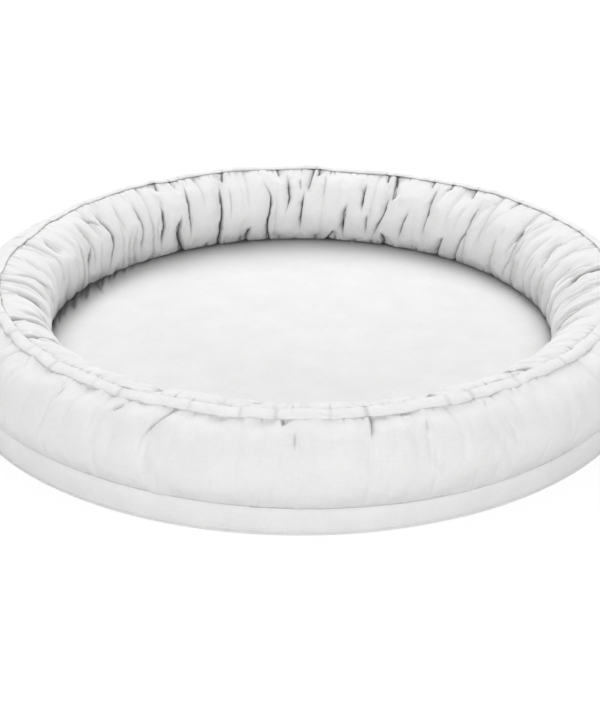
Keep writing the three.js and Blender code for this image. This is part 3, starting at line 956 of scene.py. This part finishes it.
def panel_relief(side, place, from_foot, from_crest, creases):
    """How far each point of the filled cloth still moves outwards."""
    turn, share, radius = place
    at_side = np.sin(np.radians(turn)) ** 2
    folds = press_creases(*place, soft_folds[side])[0] * (1 + 0.5 * at_side)
    valleys = crease_valleys(*place, creases)
    pinches = nips(turn, from_crest, top_nips[side])[0] + nips(turn, from_foot, foot_nips[side])[0]
    near_crest = np.exp(-from_crest / crest_gathers_reach)
    near_foot = np.exp(-from_foot / foot_gathers_reach)
    gathers = crest_gathers * unevenness(turn, share, 430, 3, 33) * near_crest
    gathers += foot_gathers * unevenness(turn, share, 210, 3, 34) * near_foot
    lumps = large_lumps * unevenness(turn, share, 110, 5, 35)
    lumps += small_lumps * unevenness(turn, share, 260, 12, 36)
    free = smooth(from_foot / foot_line) * smooth(from_crest / seam_line)
    return (gathers + lumps - valleys - folds - pinches) * free


# %% A gathered panel
row_crowding = 0.55
unfilled_waves = 0.8 * mm
outer_seam_reach = 60 * mm


def gathered_panel(name, side, columns, rows, creases, inset, fullness, pressure, frames, foot_shade):
    """One bolster panel: gathered round the ring, creased, filled and leaned over."""
    piece, turn, share = open_tube(name, columns, rows)
    share = share - row_crowding * np.sin(2 * math.pi * share) / (2 * math.pi)
    radius, height, out_radius, out_height, from_foot = cloth_section(side, share)
    from_crest = from_foot[share > 1 - 1e-6][0] - from_foot
    lay_out_uv(piece, turn, from_foot, crest_radius)
    turn = draw_columns_in(turn, share, radius, creases)
    place = (turn, share, radius)

    depth, held = press_creases(*place, creases)
    near_seam = smooth((1 - share) / 0.05) * 0.7 + 0.3
    near_foot = 0.5 + 0.5 * smooth(share / 0.08)
    depth = depth * near_seam * near_foot
    open_cloth = np.sin(math.pi * share)
    start = inset * open_cloth
    back = np.maximum(depth, start) - unfilled_waves * unevenness(turn, share, 60, 4, 31) * open_cloth
    set_points(piece.data, around(turn, radius - out_radius * back, height - out_height * back))
    # Painted shade of the creases, seams, pinches and foot, which the cotton reads.
    paint_shade(piece, panel_shade(side, place, from_foot, from_crest, creases, foot_shade))
    if side == "inner":
        piece.data.flip_normals()

    seam = (share < 1e-6) | (share > 1 - 1e-6)
    pinned = seam | ((held > 0.3) & (depth > start + 0.3 * mm))
    slack = smooth((1 - share) / 0.28) * smooth((share + 0.05) / 0.15)
    inflate(piece, pinned, slack, fullness, pressure, frames)

    points = points_of(piece.data)
    relief = panel_relief(side, place, from_foot, from_crest, creases)
    moved_radius = np.hypot(points[:, 0], points[:, 1]) + out_radius * relief
    moved_height = points[:, 2] + out_height * relief
    moved_turn = 90 - np.degrees(np.arctan2(points[:, 1], points[:, 0]))
    moved_turn = lean_over(moved_turn, share, moved_radius, creases)
    moved_height = np.where(share > 0, np.maximum(moved_height, foot_height), moved_height)
    if side == "outer":
        moved_height += outer_seam_rise(turn) * (1 - smooth(from_foot / outer_seam_reach))
    set_points(piece.data, settle_crest(around(moved_turn, moved_radius, moved_height)))
    out = (moved_radius - radius) * out_radius + (points[:, 2] - height) * out_height
    print(name, "stands out", np.round(np.percentile(out, (5, 50, 95, 100)) / mm, 1), "mm")
    return piece


# %% Inner panel
inner_panel = gathered_panel(
    "bolster_inner_cloth", "inner", 1180, 40, inner_creases,
    inset=3 * mm, fullness=0.034, pressure=8, frames=18, foot_shade=0.7,
)
give_thickness(inner_panel, cloth_thickness)
finish_cloth(inner_panel, cover_cotton, "cotton", "bolster_inner_panel")

# %% Outer panel
outer_panel = gathered_panel(
    "bolster_outer_cloth", "outer", 1200, 32, outer_creases,
    inset=2 * mm, fullness=0.02, pressure=6, frames=14, foot_shade=0.15,
)
give_thickness(outer_panel, cloth_thickness)
finish_cloth(outer_panel, cover_cotton, "cotton", "bolster_outer_panel")

# %% [markdown]
# ## The crest band
# A narrow strip, folded under at both edges, covers the seam where the two panels meet. The sewing has
# gathered it a little, so it is lumpy, its edges waver, and it pinches in where a large crease meets it.
# It is a closed loop with a low domed section: an open tube whose two edges meet under the strip.

# %% Where the band pinches in
# A turn, and how strong the pinch is.
band_knots = [
    (-35.3, 0.6), (-31.8, 0.5), (-29.3, 0.6), (-19, 0.8), (-6.3, 0.6), (2.8, 1), (18.8, 1), (21, 0.5),
    (30.3, 0.6), (35, 0.6), (41.5, 0.8), (53, 0.6), (61, 0.5), (72, 0.7), (88, 0.8), (-54, 0.5),
    (-66, 0.6), (-80, 0.7), (-95, 0.6), (158, 0.5), (171, 1), (176.5, 0.5), (-175.4, 0.8), (-170, 0.6),
    (-162, 0.5), (-150, 0.7),
]
draw = np.random.default_rng(44)
for turn_there in list(range(97, 156, 9)) + list(range(-146, -98, 9)):
    band_knots.append((turn_there + draw.uniform(-3, 3), draw.uniform(0.3, 0.8)))
print(len(band_knots), "pinches in the band")

# %% The band's edges
knot_width = 2.4 * mm
knot_draws_in = 0.9 * mm

crest_band, turn, share = open_tube("crest_band", 1300, 24)
around_section = 2 * math.pi * share
across = np.cos(around_section)
up = np.maximum(np.sin(around_section), 0)
under = np.maximum(-np.sin(around_section), 0)
in_front = 0.5 - 0.5 * np.cos(np.radians(turn))
outside_front = in_front * (across > 0)
knot = np.zeros_like(turn)
for knot_turn, size in band_knots:
    off = beside(turn, knot_turn, crest_radius)
    knot = np.maximum(knot, size * np.exp(-(off / knot_width) ** 2))
inner_edge = mm * ring_waves(turn, (0.45, 420, 47), (0.6, 130, 48))
outer_edge = mm * ring_waves(turn, (0.35, 420, 49), (0.6, 130, 50))
wander = np.where(across < 0, inner_edge, outer_edge) * np.abs(across) - knot_draws_in * knot * across
wander += mm * ring_waves(turn, (1.1, 260, 54)) * outside_front * across
print("the edges wander by up to", round(np.abs(wander).max() / mm, 1), "mm")

# %% The band's form
band_seat = 0.3 * mm
band_hollow = 0.25 * mm
wider_in_front = 2.8 * mm
knot_thins = 0.45
knot_shade = 0.3
fold_edge = 0.93
uv_width = 2.3 * band_width

reach = 0.5 * band_width + wider_in_front * outside_front
radius = crest_radius + band_seat + np.sign(across) * np.abs(across) ** 0.8 * reach + wander
puff = 1 + ring_waves(turn, (0.3, 280, 45), (0.3, 90, 46)) - knot_thins * knot
pucker = (0.25 + 0.4 * in_front) * mm * unevenness(turn + 1.5 * across, share, 520, 4, 52)
edge_softness = 1.05 - 0.25 * np.cos(np.radians(turn))
dome = (band_thickness * puff + pucker) * up ** edge_softness
edge_sit = (0.5 + 0.4 * outside_front) * mm * np.abs(across) ** 4
height = crest_height + band_seat - edge_sit + dome - band_hollow * under
# Painted shade along the band's folded edges and in its pinches.
edge_shade = (0.5 - 0.35 * outside_front) * smooth((np.abs(across) - fold_edge) / (1 - fold_edge))
lay_out_uv(crest_band, turn, share * uv_width, crest_radius)
paint_shade(crest_band, edge_shade + knot_shade * knot)
set_points(crest_band.data, settle_crest(around(turn, radius, height)))
merge_doubles(crest_band)
finish_cloth(crest_band, cover_cotton, "cotton", "top_band")

# %% [markdown]
# ## The boxing band and its zip opening
# The band is a long strip sewn round the mattress. It is stretched over the foam, so it is smooth, and
# both its edges roll in at the seams. At the back the strip is cut for the zip. Its columns are half a
# degree wide, so that the ends of the opening fall on them.

# %% Boxing band
zip_middle = 17.7 * mm
zip_slot_half_height = 7 * mm
zip_slot_half_angle = 32.5
zip_slot_bottom = zip_middle - zip_slot_half_height
zip_slot_top = zip_middle + zip_slot_half_height
band_columns = 720
band_rows = [band_bottom, band_bottom + 1.2 * mm, 6.5 * mm, zip_slot_bottom, zip_middle, zip_slot_top]
band_rows += [28.5 * mm, band_top - 1.4 * mm, band_top]
flat_half_angle = 40
edge_roll = 2.2 * mm
edge_waves = 0.5 * mm
pucker_depth = 0.5 * mm
ripple_depth = 1.3 * mm
ripple_top = 22 * mm
ripple_fade = 14 * mm
ripple_turn = -160
ripple_half_width = 17

boxing_band, turn, share = open_tube("boxing_band_cloth", band_columns, len(band_rows) - 1)
height = np.array(band_rows)[np.round(share * (len(band_rows) - 1)).astype(int)]
middle = 0.5 * (band_bottom + band_top)
edge = np.abs(height - middle) / (band_top - middle)
off_the_zip = np.abs(wrap(turn)) > flat_half_angle
rolled_in = edge_roll * edge ** 6 + edge_waves * unevenness(turn, share, 80, 2, 51) * edge ** 2
rolled_in += pucker_depth * smooth(unevenness(turn, 0.5 * share, 170, 1, 53)) * off_the_zip
ripple_place = np.exp(-(wrap(turn - ripple_turn) / ripple_half_width) ** 4) + 0.25
ripples = smooth(0.5 + ring_waves(turn, (0.8, 250, 55))) * smooth((ripple_top - height) / ripple_fade)
rolled_in += ripple_depth * ripples * ripple_place * off_the_zip
lay_out_uv(boxing_band, turn, height, base_radius)
height = height + outer_seam_rise(turn) * smooth((height - zip_slot_top) / (band_top - zip_slot_top))
set_points(boxing_band.data, around(turn, base_radius - rolled_in, height))
print("the band's edges roll in by", round(rolled_in.max() / mm, 1), "mm")

# %% Opening for the zip
bpy.context.view_layer.objects.active = boxing_band
bpy.ops.object.mode_set(mode="EDIT")
bpy.ops.mesh.select_all(action="DESELECT")
cage = bmesh.from_edit_mesh(boxing_band.data)
cage.select_mode = {"FACE"}
for face in cage.faces:
    centre = face.calc_center_median()
    behind = abs(math.degrees(math.atan2(centre.x, centre.y))) < zip_slot_half_angle
    face.select = behind and zip_slot_bottom < centre.z < zip_slot_top
bmesh.update_edit_mesh(boxing_band.data)
bpy.ops.mesh.select_mode(type="FACE")
bpy.ops.mesh.delete(type="FACE")
bpy.ops.object.mode_set(mode="OBJECT")
give_thickness(boxing_band, cloth_thickness)
finish_cloth(boxing_band, cover_cotton, "cotton", "boxing_band")

# %% [markdown]
# ## Round cloths
# The base and the sleep surface are rounds of cloth. Each starts as the same open tube. Its one free edge
# is drawn together into the middle, where the points are merged, and the other is the seam.

# %% A flat layout
def lay_flat_uv(piece):
    """A UV map in metres seen from above."""
    mesh = piece.data
    set_uv(mesh, points_of(mesh)[corner_points(mesh)][:, :2])


def face_round(piece, up):
    """Turns all the faces of a flat round up or down."""
    mesh = piece.data
    if (sum(face.normal.z for face in mesh.polygons) > 0) != up:
        mesh.flip_normals()


# %% The crown of the mattress
flat_radius = 235 * mm


def crown_at(radius):
    """The mattress is flat in the middle and falls away under the bolster's foot."""
    return crown_height * (1 - smooth((radius - flat_radius) / (crown_radius - flat_radius)))


print("the crown is", round(crown_at(0) / mm, 1), "mm high")

# %% [markdown]
# ## Folds and painted shade of the sleep surface
# Spare cloth comes out from under the bolster in small folds, longest at the left, where the camera sees
# them. Those are placed one by one, and short ones are drawn all the way round. The bolster shuts light out
# of the narrow gap at its foot, and that shade is painted into the cloth: a painted shadow, darkest at the
# touching line, which reaches furthest at the back, under the wall that faces the camera. The valley beside
# each fold is painted darker too.

# %% Folds in the sleep surface
# The turn and radius of a fold's two ends, its height and its width, in degrees and millimetres.
foot_folds = [
    (-84, 336, -92, 324, 2.0, 3.5), (-79, 336, -89, 322, 2.6, 3), (-75, 337, -85, 320, 3.4, 4),
    (-69.5, 338, -79, 313, 4, 4.5), (-66.5, 338, -74, 318, 2, 3), (-63, 340, -72.5, 310, 4, 4.5),
    (-60, 340, -67, 298, 2.4, 3.5), (-57, 340, -65.5, 306, 3.4, 4), (-54.5, 340, -61, 312, 2, 3),
    (-52, 340, -59.5, 312, 2.6, 3.5), (-49, 340, -54, 316, 2, 3), (-46, 340, -51, 318, 1.4, 3),
    (-41, 340, -45, 320, 1.2, 3), (58, 340, 57, 318, 1.2, 3), (70, 340, 72, 320, 1.6, 3),
]
draw = np.random.default_rng(63)
for fold_turn in range(-175, 180, 9):
    tip = (fold_turn + draw.uniform(-3, 3), draw.uniform(306, 328))
    foot_folds.append((fold_turn, 340, *tip, draw.uniform(0.5, 1.2), draw.uniform(2.5, 4)))


def fold_in_sheet(points, fold):
    """How high a fold lifts each point, and the painted shade in the valley on its one side."""
    turn_a, radius_a, turn_b, radius_b, rise, width = fold
    a = around(np.array([turn_a]), radius_a * mm, 0)[0, :2]
    b = around(np.array([turn_b]), radius_b * mm, 0)[0, :2]
    length = np.hypot(*(b - a))
    way = (b - a) / length
    off = points[:, :2] - a
    along = off @ way / length
    beside_it = off[:, 0] * way[1] - off[:, 1] * way[0]
    fade = smooth((1.15 - along) / 0.8) * smooth((along + 0.25) / 0.2)
    lift = rise * mm * fade * np.exp(-(beside_it / (width * mm)) ** 2)
    valley_shade = 0.17 * rise * fade * np.exp(-((beside_it - 1.3 * width * mm) / (0.7 * width * mm)) ** 2)
    return lift, valley_shade


print(len(foot_folds), "folds")


# %% Painted shadow at the bolster's foot
near_gloom = 0.62
near_gloom_reach = 16 * mm
wide_gloom = 0.14
wide_gloom_reach = 20 * mm
darkest_turn = -8
more_gloom_behind = 0.27
more_reach_behind = 62 * mm
slack_turn = -73
slack_half_width = 18
slack_gloom = 0.42
slack_gloom_reach = 37 * mm


def mattress_gloom(turn, to_foot):
    """Painted shadow on the sleep surface, by the distance from the bolster's foot."""
    behind = np.maximum(np.cos(np.radians(turn - darkest_turn)), 0)
    reach = wide_gloom_reach + more_reach_behind * behind ** 1.5
    slack_side = np.exp(-(wrap(turn - slack_turn) / slack_half_width) ** 2)
    near = near_gloom * np.exp(-to_foot / near_gloom_reach)
    wide = (wide_gloom + more_gloom_behind * behind) * np.exp(-(to_foot / reach) ** 2.2)
    under_slack = slack_gloom * slack_side * np.exp(-(to_foot / slack_gloom_reach) ** 3)
    return near + wide + under_slack


# %% Sleep surface
surface_rows = 60
surface_waves = 0.8 * mm
still_middle = 120 * mm
still_rim = 40 * mm
touching_line = 2.5 * mm
touching_shade = 0.9

surface_cloth, turn, share = open_tube("sleep_surface_cloth", 720, surface_rows)
radius = np.interp(share * surface_rows, [0, 22, 52, surface_rows], [0, 280 * mm, 345 * mm, surface_radius])
to_foot = np.maximum(crest_radius - feet["inner"] - radius, 0)
wave = surface_waves * unevenness(turn, radius / surface_radius, 14, 5, 61) * smooth(radius / still_middle)
wave = wave * (1 - smooth((radius - crown_radius + 0.5 * still_rim) / still_rim))
# Painted shadow near the bolster's foot, which the cotton reads as its painted shade.
gloom = mattress_gloom(turn, to_foot)
flat_points = around(turn, radius, 0)
for fold in foot_folds:
    lift, valley_shade = fold_in_sheet(flat_points, fold)
    wave = np.maximum(wave, lift + 0.3 * wave)
    gloom = np.maximum(gloom, valley_shade + 0.8 * gloom)
# A painted dark line where the cloth meets the bolster's foot.
gloom = np.maximum(gloom, touching_shade * np.exp(-to_foot / touching_line))
set_points(surface_cloth.data, around(turn, radius, band_top + crown_at(radius) + wave))
paint_shade(surface_cloth, gloom)
merge_doubles(surface_cloth)
lay_flat_uv(surface_cloth)
face_round(surface_cloth, up=True)
give_thickness(surface_cloth, cloth_thickness)
finish_cloth(surface_cloth, flat_cotton, "cotton", "sleep_surface_panel")
heights = points_of(surface_cloth.data)[:, 2]
print("sleep surface from", round(heights.min() / mm, 2), "to", round(heights.max() / mm, 2), "mm high")

# %% Base
base_height = 0.4 * mm
base_waves = 0.25 * mm
base_thickness = 1.1 * mm

base_cloth, turn, share = open_tube("base_cloth", 360, 24)
radius = share * (base_radius - seam_gap)
level = base_height + base_waves * unevenness(turn, share, 40, 8, 62) * smooth(share / 0.3)
set_points(base_cloth.data, around(turn, radius, level))
merge_doubles(base_cloth)
lay_flat_uv(base_cloth)
face_round(base_cloth, up=False)
give_thickness(base_cloth, base_thickness)
finish_cloth(base_cloth, cover_cotton, "cotton", "base_panel")
heights = points_of(base_cloth.data)[:, 2]
print("base from", round(heights.min() / mm, 2), "to", round(heights.max() / mm, 2), "mm high")


# %% [markdown]
# ## What is inside
# The mattress is a round of cream foam, and the bolster is full of loose white fibre. Neither shows, but
# the part is complete with them, and each has its own form and finish.

# %% Foam and fibre materials
def speckled(name, colour, cell, depth, roughness):
    """Foam or fibre: small bumps and a slight change of tone, read from Object coordinates."""
    made, tree, add = material(name)
    coordinates = add("ShaderNodeTexCoord").outputs["Object"]
    cells = add("ShaderNodeTexNoise", Vector=coordinates, Scale=1 / cell, Detail=3.0)
    cloud = add("ShaderNodeTexNoise", Vector=coordinates, Scale=1 / (25 * cell), Detail=2.0)
    tones = two_tones(add, cloud.outputs["Fac"], colour, 0.93, 1.03)
    bumpy_surface(add, tones, roughness, cells.outputs["Fac"], depth)
    return made


cream_foam = speckled("cream_foam", (0.92, 0.88, 0.78), 1.2 * mm, 0.5 * mm, 0.95)
white_fibre = speckled("white_fibre", (0.93, 0.93, 0.93), 3 * mm, 1.5 * mm, 1.0)

# %% Section of the mattress foam
foam_gap = 1.2 * mm
foam_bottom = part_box("mattress_core")[0].z + 0.3 * mm
foam_top = surface_bottom - foam_gap
foam_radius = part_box("mattress_core")[1].x - 0.5 * mm
foam_round = 5 * mm
round_steps = 6

rounding = [math.pi / 2 * step / round_steps for step in range(1, round_steps)]
profile = [(0, foam_bottom), (0.5 * foam_radius, foam_bottom), (foam_radius - foam_round, foam_bottom)]
for angle in rounding:
    inwards = foam_round * (1 - math.sin(angle))
    upwards = foam_round * (1 - math.cos(angle))
    profile.append((foam_radius - inwards, foam_bottom + upwards))
profile.append((foam_radius, foam_bottom + foam_round))
profile.append((foam_radius, foam_top - foam_round))
for angle in rounding:
    inwards = foam_round * (1 - math.cos(angle))
    downwards = foam_round * (1 - math.sin(angle))
    profile.append((foam_radius - inwards, foam_top - downwards))
profile.append((foam_radius - foam_round, foam_top))
for share_left in (0.9, 0.75, 0.6, 0.45, 0.3, 0.15, 0):
    ring_radius = foam_radius * share_left
    profile.append((ring_radius, foam_top + crown_at(ring_radius)))
profile = np.array(profile)
print("foam section with", len(profile), "points")

# %% Mattress foam
foam_pad, turn, share = open_tube("foam_mattress", 240, len(profile) - 1)
row = np.round(share * (len(profile) - 1)).astype(int)
set_points(foam_pad.data, around(turn, profile[row, 0], profile[row, 1]))
merge_doubles(foam_pad)
finish_cloth(foam_pad, cream_foam, "foam", "mattress_core")

# %% Fibre filling
fibre_inset = 12 * mm

fibre_ring, turn, share = open_tube("fibre_ring", 480, 40)
around_section = 2 * math.pi * share
across = np.cos(around_section)
up = np.sin(around_section)
half_width = np.where(across < 0, half_widths["inner"], half_widths["outer"]) - fibre_inset
lump = 1 + 0.03 * unevenness(turn, np.abs(2 * share - 1), 90, 6, 71)
above = crest_height - bulge_height - fibre_inset
below = bulge_height - foot_height - 2 * mm
height = bulge_height + np.where(up > 0, above, below) * up * lump
set_points(fibre_ring.data, settle_crest(around(turn, crest_radius + half_width * across * lump, height)))
merge_doubles(fibre_ring)
finish_cloth(fibre_ring, white_fibre, "fibre_filling", "bolster_filling")

# %% [markdown]
# ## The zip's moulded parts
# The teeth, stops, slider and puller are rigid, so they keep their form from the construction model, and
# only their finishes are made here. The teeth are moulded plastic, half matt. The stops, the slider and
# the puller are metal under a glossier white enamel, which has the faint skin of an orange.

# %% Zip finishes
peel_per_metre = 900.0
cloud_per_metre = 120.0


def satin(name, colour, roughness, ripple):
    """Moulded plastic or enamel: a faint orange-peel bump and small changes of gloss."""
    made, tree, add = material(name)
    coordinates = add("ShaderNodeTexCoord").outputs["Object"]
    peel = add("ShaderNodeTexNoise", Vector=coordinates, Scale=peel_per_metre, Detail=2.0)
    cloud = add("ShaderNodeTexNoise", Vector=coordinates, Scale=cloud_per_metre, Detail=2.0)
    tones = two_tones(add, cloud.outputs["Fac"], colour, 0.95, 1)
    gloss = add("ShaderNodeMapRange", Value=peel.outputs["Fac"])
    gloss.inputs["To Min"].default_value = roughness - 0.06
    gloss.inputs["To Max"].default_value = roughness + 0.06
    bumpy_surface(add, tones, gloss.outputs[0], peel.outputs["Fac"], ripple)
    return made


moulded_plastic = satin("zip_teeth_plastic", (0.85, 0.85, 0.84), 0.42, 0.02 * mm)
white_enamel = satin("zip_enamel", (0.82, 0.82, 0.81), 0.30, 0.03 * mm)

zip_finishes = {
    "zip_teeth_upper": moulded_plastic,
    "zip_teeth_lower": moulded_plastic,
    "zip_top_stop_upper": white_enamel,
    "zip_top_stop_lower": white_enamel,
    "zip_bottom_stop": white_enamel,
    "zip_slider": white_enamel,
    "zip_slider_back_plate": white_enamel,
    "zip_puller": white_enamel,
}
for node, finish in zip_finishes.items():
    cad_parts[node].data.materials.clear()
    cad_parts[node].data.materials.append(finish)
print(len(zip_finishes), "moulded parts finished")

# %% [markdown]
# ## The zip's tapes
# Each row of teeth sits on a woven tape, which is sewn behind the edge of the opening. The tape is made
# again as cloth: a grid bent round the mattress, slightly wavy where the stitches pull it. Its weave is a
# herringbone, with slanting ribs that turn back at each stripe.


# %% Herringbone weave
def herringbone(name, colour, rib, stripe):
    """Tightly woven tape, read from a UV map in metres. rib and stripe are the widths of both."""
    made, tree, add = material(name)
    place = add("ShaderNodeSeparateXYZ", Vector=add("ShaderNodeTexCoord").outputs["UV"])

    def work(operation, first, second):
        node = add("ShaderNodeMath", operation=operation)
        tree.links.new(first, node.inputs[0])
        if hasattr(second, "is_output"):
            tree.links.new(second, node.inputs[1])
        else:
            node.inputs[1].default_value = second
        return node.outputs[0]

    slant = work("ADD", place.outputs["X"], work("PINGPONG", place.outputs["Y"], stripe))
    wave = work("SINE", work("MULTIPLY", slant, 2 * math.pi / rib), 0.0)
    ribs = add("ShaderNodeMapRange", Value=wave)
    ribs.inputs["From Min"].default_value = -1
    tones = two_tones(add, ribs.outputs[0], colour, 0.84, 1)
    bumpy_surface(add, tones, 0.8, ribs.outputs[0], 0.12 * mm)
    return made


tape_weave = herringbone("zip_tape_weave", (0.86, 0.86, 0.855), rib=0.9 * mm, stripe=2.3 * mm)

# %% Zip tapes
tape_thickness = 0.7 * mm
tape_back_off = 0.05 * mm
tape_give = 0.15 * mm
tape_waves = ((0.12 * mm, 190), (0.1 * mm, 83))
tape_fade = 4 * mm

for node in ("zip_tape_upper", "zip_tape_lower"):
    low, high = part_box(node)
    tape_radius = high.y - tape_back_off
    half_angle = math.asin(high.x / high.y)
    bpy.ops.object.select_all(action="DESELECT")
    bpy.ops.mesh.primitive_grid_add(x_subdivisions=240, y_subdivisions=14, size=2)
    tape = bpy.context.object
    tape.name = node + "_cloth"
    tape.data.name = tape.name
    points = points_of(tape.data)
    along = points[:, 0] * half_angle
    height = 0.5 * (low.z + high.z) + 0.5 * (high.z - low.z) * points[:, 1]
    seam_side = smooth((np.abs(height - zip_middle) - zip_slot_half_height) / tape_fade)
    give = tape_give + sum(depth * np.sin(along * per_turn) for depth, per_turn in tape_waves)
    radius = tape_radius - seam_side * give
    set_points(tape.data, np.stack([radius * np.sin(along), radius * np.cos(along), height], -1))
    corner_point = corner_points(tape.data)
    set_uv(tape.data, np.stack([(along * tape_radius)[corner_point], height[corner_point]], -1))
    if tape.data.polygons[0].normal.y < 0:
        tape.data.flip_normals()
    give_thickness(tape, tape_thickness)
    finish_cloth(tape, tape_weave, "zip_tape", node)

# %% [markdown]
# ## The stitches round the zip
# A row of stitches runs above and below the opening and holds the tapes. Two short rows at each end close
# it off. One stitch is a small long ball. Its copies are laid on the band, and joined to one piece.

# %% Places of the stitches
stitch_length = 2.4 * mm
stitch_pitch = 3.1 * mm
stitch_width = 0.5 * mm
stitch_off_edge = 2.0 * mm
stitch_above_band = 0.02 * mm
tack_row_gap = 1.2 * mm

# Each place is a length along the band, a height, and how far the stitch is turned, in degrees.
places = []
slot_half_length = math.radians(zip_slot_half_angle) * base_radius
count = int(2 * (slot_half_length + stitch_off_edge) / stitch_pitch)
lowest_row = zip_slot_bottom - stitch_off_edge
for row_height in (lowest_row, zip_slot_top + stitch_off_edge):
    for i in range(count + 1):
        places.append(((i - 0.5 * count) * stitch_pitch, row_height, 0))
tack_count = int((zip_slot_top - zip_slot_bottom + 2 * stitch_off_edge) / stitch_pitch)
for end in (-1, 1):
    for row in (0, 1):
        tack_place = end * (slot_half_length + stitch_off_edge + row * tack_row_gap)
        for i in range(tack_count + 1):
            places.append((tack_place, lowest_row + (i + 0.5 * row) * stitch_pitch, 90))
print(len(places), "stitches")

# %% Stitches round the zip
sewing_thread = speckled("sewing_thread", (0.86, 0.86, 0.855), 0.4 * mm, 0.06 * mm, 0.75)

bpy.ops.object.select_all(action="DESELECT")
bpy.ops.mesh.primitive_uv_sphere_add(segments=8, ring_count=5, radius=0.5)
stitch = bpy.context.object
stitch.name = "zip_stitches"
bpy.ops.object.mode_set(mode="EDIT")
bpy.ops.mesh.select_all(action="SELECT")
bpy.ops.transform.resize(value=(stitch_length, stitch_width, stitch_width))
bpy.ops.object.mode_set(mode="OBJECT")

copies = []
for along, height, quarter in places:
    copy = stitch.copy()
    copy.data = stitch.data.copy()
    bpy.context.scene.collection.objects.link(copy)
    turn_there = Matrix.Rotation(-along / base_radius, 4, "Z")
    lie = Matrix.Rotation(math.radians(quarter), 4, "Y")
    put = Matrix.Translation((0, base_radius + stitch_above_band, height))
    copy.data.transform(turn_there @ put @ lie)
    copies.append(copy)
bpy.ops.object.select_all(action="DESELECT")
for copy in copies:
    copy.select_set(True)
bpy.context.view_layer.objects.active = copies[0]
bpy.ops.object.join()
bpy.data.objects.remove(stitch)
stitches = bpy.context.object
stitches.name = "zip_stitches"
stitches.data.materials.clear()
stitches.data.materials.append(sewing_thread)
stitches.data.shade_smooth()
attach(stitches, "lounger")
print("stitches joined:", len(stitches.data.polygons), "faces")

# %% [markdown]
# ## The dressed lounger's size
# Cloth may stand a little proud of the construction model. Both boxes are written down, so that the two
# can be compared.

# %% Sizes before and after, and finish
dressed_box = [list(corner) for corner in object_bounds()]
for axis in range(3):
    low = (cad_box[0][axis] - dressed_box[0][axis]) / mm
    high = (dressed_box[1][axis] - cad_box[1][axis]) / mm
    print("axis", "xyz"[axis], "stands out", round(low, 1), "and", round(high, 1), "mm")
